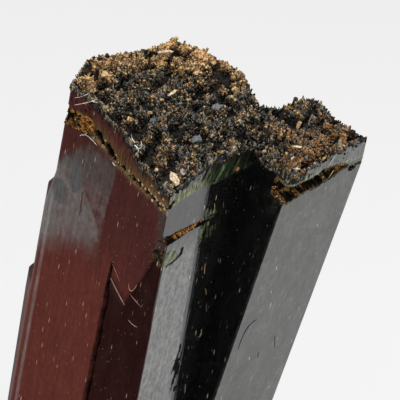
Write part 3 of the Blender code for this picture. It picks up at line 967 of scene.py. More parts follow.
def add_green(a, h, fibres, combs, paint):
    """The green, frayed patch right of the open crack, and the pale green under its left end."""
    streaky = ramp(-0.15, 0.35, streaks(a, h, 0.25, 1.3, 15.2) + 0.5 * fibres)
    frayed = h + 0.7 * fibres
    patch = ramp(-0.4, 0.4, frayed - follow(a, GREEN_PATCH_LOW))
    patch = patch * ramp(0.4, -0.4, frayed - follow(a, GREEN_PATCH_HIGH))
    patch = patch * streaky * ramp(4.9, 5.4, a) * ramp(8.8, 6.0, a + 1.2 * fibres)
    spots = ramp(0.1, 0.4, streaks(a, h, 0.3, 0.6, 4.6))
    paint = mix(paint, mix(mix(GREEN, MOSS, ramp(-0.1, 0.5, fibres)), PALE_YELLOW, 0.6 * spots), patch)
    halo_a, halo_h, wide, tall = FRONT_HALO
    away = np.hypot((a - halo_a) / wide, (h - halo_h) / tall)
    under = ramp(1.0, 0.55, away + 0.25 * ragged(a, h, 0.5, 2.7))
    paint = mix(paint, PALE_GREEN, np.clip(0.5 + 1.1 * combs + 0.4 * fibres, 0.05, 0.9) * under)
    return paint, patch, under


print("points round the green patch:", len(GREEN_PATCH_LOW + GREEN_PATCH_HIGH))

# %% Cracks of the front face
LEDGE_LEVEL = FRONT_CRACK_LEVEL - SEAM + 0.10
RUST_FROM = ((0.2, 1.2, 3.6), (-0.75, -0.45, -1.1))  # along the open crack: how far down rust begins


def add_small_crack(a, h, fibres, paint):
    from_small = np.abs(h - follow(a, SMALL_CRACK)) / follow(a, SMALL_CRACK, 2)
    small = ramp(1.9, 1.4, from_small + 0.3 * fibres) * (a > 1.0) * (a < 3.15)
    small = np.maximum(small, ramp(1.25, 1.0, from_slot(a, h)))
    in_small = small * ramp(0.55, 0.25, np.hypot(a - 2.5, 0.8 * (h + 8.4)))
    # The small crack and its slot are painted black for the shade in them: painted shade.
    return mix(mix(paint, PIT_BLACK, small), RUST, in_small), small


def add_open_crack(a, h, fibres, paint):
    """Black painted in the open crack for the shade under its upper lip: painted shade. Rust lies on its
    lower wall, the only one that can be seen from above.
    """
    core = follow(a, FRONT_CRACK) + 0.05 * ragged(a, h * 0.0, 0.3, 5.5)
    from_crack = (h - core) / follow(a, FRONT_CRACK, 2)
    reach = (a < 7.3) & (a > -0.6)
    cracked = reach * ramp(1.6, 1.2, np.abs(from_crack) + 0.3 * fibres)
    paint = mix(paint, PIT_BLACK, cracked)
    lowest = np.interp(a, *RUST_FROM)
    rust = ramp(-0.2, 0.1, from_crack - lowest + 0.5 * fibres) * ramp(0.4, 0.1, from_crack)
    rust = rust * reach * ramp(6.8, 5.2, a) * ramp(-0.1, 0.4, a)
    bright = ramp(-0.6, 0.1, ragged(a, h, 0.3, 5.0))
    return mix(paint, mix(RUST, RUST_BRIGHT, bright), rust), cracked, rust


def front_paint(a, h):
    """Paint and marks of the whole front face."""
    lean = a - 0.4 * h
    combs = streaks(lean, h, 0.42, 2.8, 3.9)
    fibres = streaks(lean, h, 0.2, 1.8, 3.3) + 0.5 * streaks(lean, h, 0.12, 0.9, 8.1)
    paint, fray = dust_and_sheen(a, h)
    paint, fibrous, dull = add_front_cap(a, h, fibres, combs, paint)
    paint, patch, under = add_green(a, h, fibres, combs, paint)
    # The ledge right of the open crack is painted black, with the dull finish, so it stays as dark as the
    # reflected black band round it: painted dark reflection over its highlight.
    ledge = ramp(3.6, 4.4, a) * ramp(7.4, 6.4, a) * ramp(0.16, 0.08, np.abs(h - LEDGE_LEVEL))
    paint = mix(paint, PIT_BLACK, ledge)
    paint, small = add_small_crack(a, h, fibres, paint)
    paint, cracked, rust = add_open_crack(a, h, fibres, paint)
    # The pits are painted black for the shade in them: painted shade.
    pits = ramp(0.08, 0.2, pit_depth(a, h, FRONT_PITS))
    paint = mix(paint, PIT_BLACK, pits)
    dull = np.maximum.reduce([dull, patch, under, cracked, pits, ledge, small, fray])
    return paint, np.clip(rust, 0.0, 1.0), np.maximum(fibrous, patch), dull, np.ones_like(a)


print("the ledge right of the open crack lies", round(-LEDGE_LEVEL, 2), "mm below the seam")

# %% Paint on the twin's face and the groove
HOLLOW_RUST = (  # distance along the face, height, radius
    (-0.5, -1.3, 0.45), (0.3, -1.2, 0.4), (1.2, -1.1, 0.35), (4.6, 0.1, 0.45), (6.3, 0.35, 0.5),
    (7.4, 0.45, 0.4),
)


def add_twin_cap(a, h, paint):
    """The cap, partly painted grey for its sheen, with dark bark under its rim, and the pale line along its
    lower edge.
    """
    fibres = streaks(a, h, 0.16, 2.4, 6.4) + 0.5 * streaks(a, h, 0.4, 1.2, 3.7)
    above = h - follow(a, CAP_EDGE)
    cap = ramp(0.0, 0.25, above)
    # Grey painted on the cap for its sheen: painted reflection.
    paint = mix(paint, CAP_GREY, np.clip(0.35 * cap * (0.75 + 0.5 * fibres), 0.0, 1.0))
    bark = ramp(0.75, 0.3, follow(a, TWIN_RIM) - h + fibres)
    bark = cap * np.maximum(bark * ramp(6.5, 4.5, a), ramp(3.0, 2.2, a + 1.8 * fibres))
    line = np.exp(-(((above - 0.12) / 0.15) ** 2)) * (0.75 + 0.8 * ragged(a, h * 0.0, 0.5, 5.1))
    line = np.clip(line, 0.0, 1.0)
    return mix(mix(paint, BARK, bark), PALE_GREEN, 0.8 * line), cap, np.maximum(bark, 0.8 * line)


def twin_paint(a, h, out):
    """Paint and marks of the second prism's face: its bloom, its cap, and the hollow, painted black for its
    shade, with its rust.
    """
    dust_and_sheen_amount = 1.0 + streaks(a, h, 1.3, 3.0, 5.2) + streaks(a, h, 0.35, 0.9, 1.9)
    paint = np.outer(np.clip(dust_and_sheen_amount, 0.0, 2.0) * ramp(-0.1, 0.2, a), TWIN_BLOOM)
    paint, cap, dull = add_twin_cap(a, h, paint)
    floor_edge = np.where(a < 8.1, follow(a, HOLLOW_FLOOR), np.interp(a, (8.1, 10.6), (0.2, 0.0)))
    below = h - floor_edge + 0.16 * ragged(a, h * 0.0, 0.3, 7.1)
    under = ramp(-0.5, -0.2, below) * ramp(0.12, -0.05, below)
    paint = mix(paint, PALE_GREEN, np.clip((0.25 + 0.9 * ragged(a, h, 0.4, 6.7)), 0.0, 0.9) * under)
    hollow = ramp(-0.10, -0.02, hollow_room(a, h))
    hollow = np.maximum(hollow, ramp(0.05, 0.12, pit_depth(a, h, TWIN_PITS)))
    # The hollow under the cap is painted black for the shade in it: painted shade.
    paint = mix(paint, PIT_BLACK, hollow)
    gathered = ramp(0.1, 0.35, patches(np.stack([a, h, out], 1), 0.42, 19.3))
    for rust_a, rust_h, radius in HOLLOW_RUST:
        gathered = np.maximum(gathered, ramp(1.2, 0.5, np.hypot(a - rust_a, h - rust_h) / radius))
    rust = hollow * gathered
    paint = mix(paint, rust_colour(a, h + 0.9 * out), rust)
    warm = 0.35 + 0.6 * ragged(a, h, 0.6, 2.1)
    return paint, rust, cap, np.maximum.reduce([dull, under, hollow]), warm


print("rusty spots in the hollow:", len(HOLLOW_RUST))

# %% Paint both prisms
MARKS = ("rusty", "fibrous", "dull", "warm")
MAROON_WRAP = 1.4  # the left face's paint goes this far round the rough edge behind it
MAROON_WRAP_DEPTH = 1.3
GROOVE_DEPTH = 1.8  # the twin's paint goes this far into the groove, and this far down
GROOVE_FOOT = -2.2


def unpainted(points, owners):
    """The face that owns each point, with black paint and no marks to begin with."""
    owner = np.concatenate([np.tile(owners, len(points) // len(owners)), [-1]])
    paint = np.tile(BLACK, (len(points), 1)).astype(float)
    return owner, paint, np.zeros((len(MARKS), len(points)))


def paint_main(points, owners):
    owner, paint, marks = unpainted(points, owners)
    a, h, out = left_face.place(points)
    behind = owner == BACK_LEFT
    # The narrow face behind the left one is painted dark maroon for its reflection: painted reflection.
    paint[behind] = STRIP_MAROON
    edge = (owner == LEFT) | (behind & (a < MAROON_WRAP) & (out > -MAROON_WRAP_DEPTH))
    paint[edge] = left_paint(a[edge], h[edge])
    seam = edge & (h > -2.6)
    paint[seam], *marks[:, seam] = left_seam_paint(a[seam], h[seam], paint[seam])
    front = owner == FRONT
    a, h, _ = front_face.place(points)
    paint[front], *marks[:, front] = front_paint(a[front], h[front])
    return paint, marks


def paint_twin(points, owners):
    owner, paint, marks = unpainted(points, owners)
    a, h, out = twin_face.place(points)
    groove = (owner == len(TWIN_CORNERS) - 1) & (out > -GROOVE_DEPTH) & (h > GROOVE_FOOT)
    seen = (owner == 0) | groove
    paint[seen], *marks[:, seen] = twin_paint(a[seen], h[seen], out[seen])
    return paint, marks


print("marks:", MARKS)

# %% [markdown]
# ## Finishes of the crystal
# The black faces get a clear gloss with a high index of refraction, fine striae along the prism, a thin
# uneven bloom of dust and a scatter of pale specks. The face painted maroon for its reflection is nearly
# without gloss, and fibrous or rusty places have none. All read the painted attribute for their base
# colour, so one tree serves them with different numbers. Its patterns read the object's own coordinates,
# stretched along the prism.

# %% Patterns and sums in a material
PER_MM = 1000.0


def scaled_place(tree, per_mm):
    """The place on the object in millimetres, times a number for each axis."""
    place = add_node(tree, "ShaderNodeTexCoord").outputs["Object"]
    scale = tuple(PER_MM * k for k in per_mm)
    return add_node(tree, "ShaderNodeMapping", {"Vector": place, "Scale": scale}).outputs["Vector"]


def cloud(tree, per_mm, detail=3.0, roughness=0.55):
    """A noise value around 0.5. The patches are one over per_mm millimetres across."""
    inputs = {"Vector": scaled_place(tree, per_mm), "Scale": 1.0, "Detail": detail, "Roughness": roughness}
    return add_node(tree, "ShaderNodeTexNoise", inputs).outputs["Fac"]


def remap(tree, value, low, high, to_low=0.0, to_high=1.0):
    inputs = {"Value": value, "From Min": low, "From Max": high, "To Min": to_low, "To Max": to_high}
    return add_node(tree, "ShaderNodeMapRange", inputs, interpolation_type="SMOOTHSTEP").outputs["Result"]


def maths(tree, operation, first, second=0.0, clamp=False):
    node = add_node(tree, "ShaderNodeMath", operation=operation, use_clamp=clamp)
    link_or_set(tree, node.inputs[0], first)
    link_or_set(tree, node.inputs[1], second)
    return node.outputs["Value"]


def product(tree, first, *others):
    for other in others:
        first = maths(tree, "MULTIPLY", first, other)
    return first


print("one pattern unit is", 1.0 / PER_MM, "m")


# %% Colours, bumps and specks in a material
def blend(tree, share, first, second, how="MIX"):
    """A colour between two colours. A colour mix node has its own sockets for them, numbers 6 and 7."""
    node = add_node(tree, "ShaderNodeMix", data_type="RGBA", blend_type=how)
    for number, value in ((0, share), (6, first), (7, second)):
        link_or_set(tree, node.inputs[number], (*value, 1.0) if isinstance(value, tuple) else value)
    return node.outputs[2]


def attribute(tree, name, output="Fac"):
    return add_node(tree, "ShaderNodeAttribute", attribute_name=name).outputs[output]


def bump(tree, height, distance, normal=None):
    """A bumped normal. The distance is in millimetres, and a normal given is bumped once more."""
    inputs = {"Strength": 1.0, "Distance": distance * MM, "Height": height}
    if normal is not None:
        inputs["Normal"] = normal
    return add_node(tree, "ShaderNodeBump", inputs).outputs["Normal"]


def specks(tree, per_mm, kept, size):
    """A mask of small marks, one in each kept cell of a Voronoi pattern, and a random colour for each."""
    inputs = {"Vector": scaled_place(tree, per_mm), "Scale": 1.0}
    cells = add_node(tree, "ShaderNodeTexVoronoi", inputs)
    parts = add_node(tree, "ShaderNodeSeparateColor", {"Color": cells.outputs["Color"]})
    mark = remap(tree, cells.outputs["Distance"], size, size * 0.5)
    chosen = remap(tree, parts.outputs["Red"], 1.0 - kept, 1.0 - kept + 0.03)
    return maths(tree, "MULTIPLY", mark, chosen), parts.outputs["Green"]


# %% One finish for all the faces
SPECK_GRIDS = (  # cells per millimetre, share of the kept cells, size of a mark in its cell, strength
    ((4.0, 4.0, 0.55), 1.0, 0.24, 1.0),
    ((8.0, 8.0, 1.8), 0.6, 0.28, 0.55),
)
ROUGHEST_RUST = 0.9
GRAIN_HEIGHT = 0.12
RIDGE_HEIGHT = 0.012
print("grids of specks:", len(SPECK_GRIDS))


def crystal_finish(
    name, gloss, ior, level, bloom, bloom_colour, speck_dark, speck_light, kept, striae, mottling
):
    """A painted finish. Gloss is its roughness where it is clean, level the strength of its reflections,
    kept the share of cells with a speck, and striae the height of the lines along the prism."""
    finish, tree, shader = new_finish(name)
    rusty, fibrous = attribute(tree, "rusty"), attribute(tree, "fibrous")
    striation = cloud(tree, (3.2, 3.2, 0.16), 4.0)
    hairs = remap(tree, cloud(tree, (6.0, 6.0, 0.7), 4.0, 0.7), 0.36, 0.62, 0.30, 1.75)
    mottle = remap(tree, cloud(tree, (2.4, 2.4, 1.2), 6.0, 0.75), 0.35, 0.65, 1.0 - mottling, 1.0 + mottling)
    shade = remap(tree, striation, 0.3, 0.7, 0.88, 1.12)
    shade = product(tree, shade, remap(tree, fibrous, 0.0, 1.0, 1.0, hairs), mottle)
    base = blend(tree, 1.0, attribute(tree, "paint", "Color"), shade, "MULTIPLY")
    dust = product(tree, remap(tree, cloud(tree, (0.8, 0.8, 0.4), 6.0, 0.75), 0.40, 0.68), bloom)
    base = blend(tree, dust, base, bloom_colour)
    for per_mm, share, size, strength in SPECK_GRIDS:
        mask, tint = specks(tree, per_mm, share * kept, size)
        base = blend(tree, product(tree, mask, strength), base, blend(tree, tint, speck_dark, speck_light))
    tree.links.new(base, shader.inputs["Base Color"])
    smear = remap(tree, cloud(tree, (0.35, 0.35, 0.12), 4.0), 0.35, 0.7, gloss, gloss + 0.025)
    wear_and_sheen = maths(tree, "MAXIMUM", smear, product(tree, rusty, ROUGHEST_RUST))
    tree.links.new(wear_and_sheen, shader.inputs["Roughness"])
    shader.inputs["IOR"].default_value = ior
    shader.inputs["Specular IOR Level"].default_value = level
    normal = bump(tree, striation, striae)
    normal = bump(tree, product(tree, cloud(tree, (6.0, 6.0, 6.0), 3.0), rusty), GRAIN_HEIGHT, normal)
    normal = bump(tree, product(tree, hairs, fibrous), RIDGE_HEIGHT, normal)
    tree.links.new(normal, shader.inputs["Normal"])
    return finish


# %% Film, gloss and dull black
maroon_reflection_finish = crystal_finish(
    "maroon_reflection_paint", gloss=0.42, ior=1.5, level=0.015, bloom=0.05, bloom_colour=(0.20, 0.11, 0.095),
    speck_dark=(0.40, 0.16, 0.07), speck_light=(0.85, 0.62, 0.42), kept=0.12, striae=0.006, mottling=0.14,
)
gloss_finish = crystal_finish(
    "black_gloss", gloss=0.02, ior=1.85, level=0.5, bloom=0.10, bloom_colour=(0.060, 0.058, 0.054),
    speck_dark=(0.30, 0.22, 0.14), speck_light=(0.70, 0.64, 0.52), kept=0.10, striae=0.009, mottling=0.55,
)
dull_finish = crystal_finish(
    "dull_black", gloss=0.65, ior=1.5, level=0.03, bloom=0.05, bloom_colour=(0.06, 0.058, 0.054),
    speck_dark=(0.12, 0.08, 0.05), speck_light=(0.50, 0.46, 0.38), kept=0.05, striae=0.006, mottling=0.3,
)
print("finishes:", maroon_reflection_finish.name, gloss_finish.name, dull_finish.name)

# %% The bed under the crust, and the flat cut
bed_finish, tree, shader = new_finish("crust_bed")
earth = remap(tree, cloud(tree, (2.4, 2.4, 2.4), 4.0), 0.45, 0.62)
tree.links.new(blend(tree, earth, (0.003, 0.003, 0.003), (0.022, 0.014, 0.007)), shader.inputs["Base Color"])
shader.inputs["Roughness"].default_value = 0.9
cut_finish, tree, shader = new_finish("cut_face")
mottle = remap(tree, cloud(tree, (0.8, 0.8, 0.8), 5.0, 0.65), 0.4, 0.65)
tree.links.new(blend(tree, mottle, (0.012, 0.012, 0.011), (0.045, 0.043, 0.038)), shader.inputs["Base Color"])
tree.links.new(remap(tree, cloud(tree, (1.5, 1.5, 1.5)), 0.3, 0.7, 0.45, 0.7), shader.inputs["Roughness"])
tree.links.new(bump(tree, cloud(tree, (0.3, 8.0, 0.3), 2.0), 0.01), shader.inputs["Normal"])
body_finishes = (maroon_reflection_finish, gloss_finish, dull_finish, bed_finish, cut_finish)
MAROON_SLOT, GLOSS, DULL, BED, CUT = range(len(body_finishes))
print("finishes:", [finish.name for finish in body_finishes])

# %% [markdown]
# ## Joining the prisms
# The two prisms grew into each other, so they end as one closed mesh. Each lofted prism is first an
# object of its own, with its paint, its marks and its finishes. A Boolean modifier then joins them. Its
# Manifold solver is fast and keeps attributes, but the points that it makes along the join have none.
# They take those of the nearest painted point.

# %% Writing and reading attributes
MAIN_MAROON_FACES = (LEFT, BACK_LEFT)  # the left face and the narrow one behind it carry the maroon painted for their reflection
FAR_FROM_RIM = 99.0


def store(mesh, name, kind, values):
    layer = mesh.attributes.new(name, kind, "POINT")
    field = "color" if kind == "FLOAT_COLOR" else "value"
    layer.data.foreach_set(field, np.asarray(values, dtype=np.float32).ravel())


def gathered(items, field, width=1, kind=np.float64):
    """One field of many mesh items, as rows of numbers where it is wider than one number."""
    values = np.zeros(len(items) * width, dtype=kind)
    items.foreach_get(field, values)
    return values.reshape(-1, width) if width > 1 else values


def read(mesh, name, width=1):
    return gathered(mesh.attributes[name].data, "color" if width == 4 else "value", width, np.float32)


print("film faces of the main prism:", MAIN_MAROON_FACES)


# %% A painted prism as an object
def painted_shell(name, parts, painter, maroon_faces):
    """One prism, with its paint and marks, how far each point lies inside the rim and under it, and its
    finishes."""
    points, polygons, owners, side_polygons = parts
    count = len(owners)
    shell = mesh_object(name, points, polygons)
    paint, marks = painter(points, owners)
    store(shell.data, "paint", "FLOAT_COLOR", np.column_stack([paint, np.ones(len(paint))]))
    for mark, values in zip(MARKS, marks):
        store(shell.data, mark, "FLOAT", values)
    store(shell.data, "known", "FLOAT", np.ones(len(points)))
    inward = np.maximum(np.arange(len(points)) // count - side_polygons // count, 0)
    store(shell.data, "inward", "FLOAT", inward)
    rim = points[side_polygons : side_polygons + count, 2]
    under_rim = np.append(np.tile(rim, len(points) // count), rim.max()) - points[:, 2]
    store(shell.data, "under_rim", "FLOAT", under_rim + FAR_FROM_RIM * (inward > 0))
    finishes = np.full(len(polygons), BED, dtype=np.int32)
    on_maroon = np.isin(np.tile(owners, side_polygons // count), maroon_faces)
    finishes[:side_polygons] = np.where(on_maroon, MAROON_SLOT, GLOSS)
    finishes[-1] = CUT
    for finish in body_finishes:
        shell.data.materials.append(finish)
    shell.data.polygons.foreach_set("material_index", finishes)
    return shell


main_shell = painted_shell("main_shell", main_loft, paint_main, MAIN_MAROON_FACES)
twin_shell = painted_shell("twin_shell", twin_loft, paint_twin, ())
print("shells:", len(main_shell.data.polygons), "and", len(twin_shell.data.polygons), "polygons")


# %% Join the two prisms
def evaluated_mesh(thing, name):
    """The mesh with its modifiers applied, as a new mesh."""
    graph = bpy.context.evaluated_depsgraph_get()
    finished = thing.evaluated_get(graph)
    mesh = bpy.data.meshes.new_from_object(finished, preserve_all_data_layers=True, depsgraph=graph)
    mesh.name = name
    return mesh


union = main_shell.modifiers.new("union", "BOOLEAN")
union.object = twin_shell
union.operation = "UNION"
union.solver = "MANIFOLD"
body = link_object("crystal_body", evaluated_mesh(main_shell, "crystal_body"))
bpy.data.objects.remove(main_shell, do_unlink=True)
bpy.data.objects.remove(twin_shell, do_unlink=True)
print("joined:", len(body.data.polygons), "polygons")

# %% Paint the points along the join
known = read(body.data, "known") > 0.99
places = gathered(body.data.vertices, "co", 3)
nearby = KDTree(int(known.sum()))
for i in np.flatnonzero(known):
    nearby.insert(places[i], i)
nearby.balance()
new = np.flatnonzero(~known)
nearest = [nearby.find(places[i])[1] for i in new]
for name, width in (("paint", 4), *((mark, 1) for mark in (*MARKS, "under_rim"))):
    values = read(body.data, name, width)
    values[new] = values[nearest]
    body.data.attributes[name].data.foreach_set("color" if width == 4 else "value", values.ravel())
body.data.attributes.remove(body.data.attributes["known"])
print("points made by the join:", len(new))

# %% Smooth shading, and the dull finish on dull places
SHARP_ANGLE = math.radians(35.0)
DULL_FROM = 0.45


def polygon_means(name):
    """The mean of a point attribute over each polygon of the body."""
    corners = gathered(body.data.polygons, "loop_total", kind=np.int32)
    owners = gathered(body.data.loops, "vertex_index", kind=np.int32)
    starts = np.concatenate([[0], np.cumsum(corners)[:-1]])
    return np.add.reduceat(read(body.data, name)[owners], starts) / corners


body.data.polygons.foreach_set("use_smooth", np.ones(len(body.data.polygons), dtype=bool))
body.data.set_sharp_from_angle(angle=SHARP_ANGLE)
slots = gathered(body.data.polygons, "material_index", kind=np.int32)
slots[(slots == GLOSS) & (polygon_means("dull") > DULL_FROM)] = DULL
body.data.polygons.foreach_set("material_index", slots)
print("body:", len(body.data.polygons), "faces; in each finish:", np.bincount(slots, minlength=5).tolist())

# %% [markdown]
# ## The crust of small crystals
# The ends carry thousands of tiny upright crystals with rusty clay between them. Placing them by hand
# is hopeless, and particles would have to be turned into a mesh anyway. Geometry Nodes spread points
# over the ground, stand a blunt needle or a lump on each, and realize them. The ground is a copy of a
# part of the body, with attributes that say how rusty a place is and how deep it lies in a crevice. The
# crystals take those over, so that one finish can colour them all.

# %% Where the crust is rusty
OCHRE_LEVEL = 0.10
OCHRE_SPOTS = (  # x, y, radius, amount
    (-1.0, 8.2, 2.2, 0.95), (3.0, 8.0, 2.6, 0.80), (-4.5, 6.5, 2.2, 0.35), (-8.5, 3.0, 2.3, 0.40),
    (-9.0, 0.5, 1.8, 0.25), (-4.5, -3.4, 1.6, 0.28), (5.2, 4.6, 1.6, 0.30), (13.0, 5.5, 2.2, 0.15),
    (14.5, -1.5, 2.2, 0.28), (17.5, 1.5, 2.2, 0.34), (11.0, 1.0, 1.6, 0.25), (0.5, -7.5, 1.8, 0.18),
    (6.5, -3.2, 1.5, 0.12), (12.8, -4.0, 1.2, 0.25), (-6.5, 6.5, 1.5, 0.2), (-0.5, -5.5, 1.2, 0.15),
)


def store_ochre(mesh, level):
    """Stores how rusty and clayey the ground is: a level everywhere, and more of it round some spots."""
    x, y, _ = (gathered(mesh.vertices, "co", 3) / MM).T
    ochre = np.full(len(x), level)
    for spot_x, spot_y, radius, amount in OCHRE_SPOTS:
        ochre += amount * lump(x, y, spot_x, spot_y, radius)
    store(mesh, "ochre", "FLOAT", np.clip(ochre, 0.0, 1.0))


def part_of_body(name, chosen):
    """A new object with the chosen polygons of the body, in the same place."""
    mesh = body.data.copy()
    mesh.name = name
    bm = bmesh.new()
    bm.from_mesh(mesh)
    bm.faces.ensure_lookup_table()
    bmesh.ops.delete(bm, geom=[face for face, keep in zip(bm.faces, chosen) if not keep], context="FACES")
    bm.to_mesh(mesh)
    bm.free()
    return link_object(name, mesh)


print("rusty spots:", len(OCHRE_SPOTS))

# %% The ground of the crust and of the rust
INSIDE_RIM = 0.4
RUSTY_FROM = 0.5
LOW_LUMPS = ((13.9, 5.4, 2.0, 0.3), (-0.6, 8.4, 2.4, 0.2))  # x, y, radius, how much shorter crystals are

bed = part_of_body("crust_ground", (slots == BED) & (polygon_means("inward") > INSIDE_RIM))
store_ochre(bed.data, OCHRE_LEVEL)
x, y, _ = (gathered(bed.data.vertices, "co", 3) / MM).T
store(bed.data, "tawny", "FLOAT", ramp(10.5, 15.0, x - 0.5 * y) * ramp(-9.0, -4.0, y - 0.6 * x + 8.0))
sunk = np.maximum(crevices(x, y), 0.6 * ramp(18.9, 19.4, x))
for spot_x, spot_y, radius, amount in LOW_LUMPS:
    sunk = np.maximum(sunk, amount * lump(x, y, spot_x, spot_y, radius))
store(bed.data, "sunk", "FLOAT", np.clip(sunk, 0.0, 1.0))
rust_bed = part_of_body("rust_ground", (polygon_means("rusty") > RUSTY_FROM) & (slots != BED))
store(rust_bed.data, "ochre", "FLOAT", read(rust_bed.data, "warm"))
print("crust ground:", len(bed.data.polygons), "faces; rust ground:", len(rust_bed.data.polygons), "faces")

# %% The ground of the jagged rim
RIM_REACH = 0.42  # how far below the rim small crystals still grow

middles = gathered(body.data.polygons, "center", 3) / MM
along, height, _ = left_face.place(middles)
reach = RIM_REACH * (1.0 + 0.9 * patches(middles, 0.8, 3.6)) + 0.35 * ramp(9.0, 12.0, along) * (height > 0.0)
along, _, out = front_face.place(middles)
reach = reach * np.where((np.abs(out) < 0.6) & (along > 0.0) & (along < 6.0), 0.45, 1.0)
along, _, out = twin_face.place(middles)
reach = reach * np.where((np.abs(out) < 0.8) & (along > 2.5), 0.4, 1.0)
reach = reach * ramp(19.3, 18.6, middles[:, 0])
rim_bed = part_of_body("rim_ground", (polygon_means("under_rim") < reach) & (slots != BED) & (slots != CUT))
store_ochre(rim_bed.data, 0.0)
print("rim ground:", len(rim_bed.data.polygons), "faces")

# %% [markdown]
# ## A tree that grows small shapes
# One Geometry Nodes tree serves six kinds of growth, with its sizes as named inputs: how far apart the
# points are, how long and thick a shape is, how upright it stands and how much it leans towards its
# neighbours. Crystals of one tuft lean together, because a broad noise turns them all the same way, and
# a small random turn keeps them from looking combed.

# %% Inputs of the tree
NEEDLE, LUMP = "needle", "lump"
SIZE_LABELS = ("Spacing", "Shortest", "Longest", "Thinnest", "Thickest", "Crumple")
SHARE_LABELS = ("Uprightness", "Lean", "Clay Only", "Gaps", "Crevices", "Clusters")
UNITS = {**dict.fromkeys(SIZE_LABELS, MM), **dict.fromkeys(SHARE_LABELS, 1.0), "Crowding": PER_MM**2}


def tree_with_inputs(name):
    tree = bpy.data.node_groups.new(name, "GeometryNodeTree")
    face = tree.interface
    face.new_socket("Geometry", in_out="INPUT", socket_type="NodeSocketGeometry")
    for label in UNITS:
        face.new_socket(label, in_out="INPUT", socket_type="NodeSocketFloat")
    face.new_socket("Seed", in_out="INPUT", socket_type="NodeSocketInt")
    face.new_socket("Finish", in_out="INPUT", socket_type="NodeSocketMaterial")
    face.new_socket("Geometry", in_out="OUTPUT", socket_type="NodeSocketGeometry")
    return tree, add_node(tree, "NodeGroupInput").outputs


def vector_maths(tree, operation, first, second):
    node = add_node(tree, "ShaderNodeVectorMath", operation=operation)
    link_or_set(tree, node.inputs[0], first)
    link_or_set(tree, node.inputs[1], second)
    return node.outputs[0]


def noise_vector(tree, noise_node, amount):
    """A noise's colour as a vector around nothing, times an amount."""
    centred = vector_maths(tree, "SUBTRACT", noise_node.outputs["Color"], (0.5, 0.5, 0.5))
    inputs = {"Vector": centred, "Scale": amount}
    return add_node(tree, "ShaderNodeVectorMath", inputs, operation="SCALE").outputs[0]


def random_number(tree, given, low, high, draw):
    """A random number for each shape. Each use has its own draw, so that no two uses agree."""
    seed = maths(tree, "ADD", given["Seed"], draw)
    node = add_node(tree, "FunctionNodeRandomValue", data_type="FLOAT")
    for number, value in ((2, low), (3, high), (8, seed)):
        link_or_set(tree, node.inputs[number], value)
    return node.outputs[1]


def ground_value(tree, name):
    node = add_node(tree, "GeometryNodeInputNamedAttribute", {"Name": name}, data_type="FLOAT")
    return node.outputs["Attribute"]


print("inputs:", list(UNITS))

# %% Where shapes grow, which way, and how large
GAP_SCALE = 1.25 * PER_MM
CLUSTER_SCALE = 0.75 * PER_MM
SUNK_SHORTER = 0.7  # how much shorter a needle is at the bottom of a crevice


def growth_points(tree, given, sunk):
    """Points on the ground: none in gaps and few in crevices, and clay only where it is rusty."""
    everywhere = maths(tree, "SUBTRACT", 1.0, given["Clay Only"])
    wanted = maths(tree, "ADD", everywhere, product(tree, ground_value(tree, "ochre"), given["Clay Only"]))
    gaps = add_node(tree, "ShaderNodeTexNoise", {"Scale": GAP_SCALE, "Detail": 2.0}).outputs["Fac"]
    filled = maths(tree, "MULTIPLY", maths(tree, "SUBTRACT", gaps, given["Gaps"]), 12.0, clamp=True)
    raised = maths(tree, "SUBTRACT", 1.0, product(tree, sunk, given["Crevices"]), clamp=True)
    density = product(tree, wanted, product(tree, filled, raised))
    inputs = {"Mesh": given["Geometry"], "Distance Min": given["Spacing"], "Density Max": given["Crowding"]}
    inputs.update({"Density Factor": density, "Seed": given["Seed"]})
    return add_node(tree, "GeometryNodeDistributePointsOnFaces", inputs, distribute_method="POISSON")


def growth_rotation(tree, given, points, cluster):
    upward = add_node(tree, "ShaderNodeCombineXYZ", {"Z": given["Uprightness"]}).outputs[0]
    direction = vector_maths(tree, "ADD", points.outputs["Normal"], upward)
    together = noise_vector(tree, cluster, product(tree, given["Lean"], 4.0))
    direction = vector_maths(tree, "ADD", direction, together)
    against = product(tree, given["Lean"], -1.0)
    astray = {
        axis: random_number(tree, given, against, given["Lean"], draw)
        for draw, axis in ((1, "X"), (2, "Y"), (3, "Z"))
    }
    astray = add_node(tree, "ShaderNodeCombineXYZ", astray).outputs[0]
    direction = vector_maths(tree, "ADD", direction, astray)
    stand = add_node(tree, "FunctionNodeAlignRotationToVector", {"Vector": direction}, axis="Z")
    turn = {"Axis": (0.0, 0.0, 1.0), "Angle": random_number(tree, given, 0.0, math.tau, 4)}
    spin = add_node(tree, "FunctionNodeAxisAngleToRotation", turn)
    both = {"Rotation": stand.outputs[0], "Rotate By": spin.outputs[0]}
    return add_node(tree, "FunctionNodeRotateRotation", both, rotation_space="LOCAL").outputs[0]


def growth_size(tree, given, cluster, sunk):
    taller = product(tree, maths(tree, "SUBTRACT", cluster.outputs["Fac"], 0.5), given["Clusters"])
    taller = maths(tree, "SUBTRACT", maths(tree, "ADD", taller, 1.0), product(tree, sunk, SUNK_SHORTER))
    size = {
        axis: random_number(tree, given, given["Thinnest"], given["Thickest"], draw)
        for draw, axis in ((5, "X"), (6, "Y"))
    }
    size["Z"] = product(tree, taller, random_number(tree, given, given["Shortest"], given["Longest"], 7))
    return add_node(tree, "ShaderNodeCombineXYZ", size).outputs[0]


print("tufts are about", round(PER_MM / CLUSTER_SCALE, 1), "mm wide")

# %% One needle or lump, and the whole tree
NEEDLE_SINK = 0.4  # this share of a needle is under the ground
WANDER_SCALE = 4.0 * PER_MM


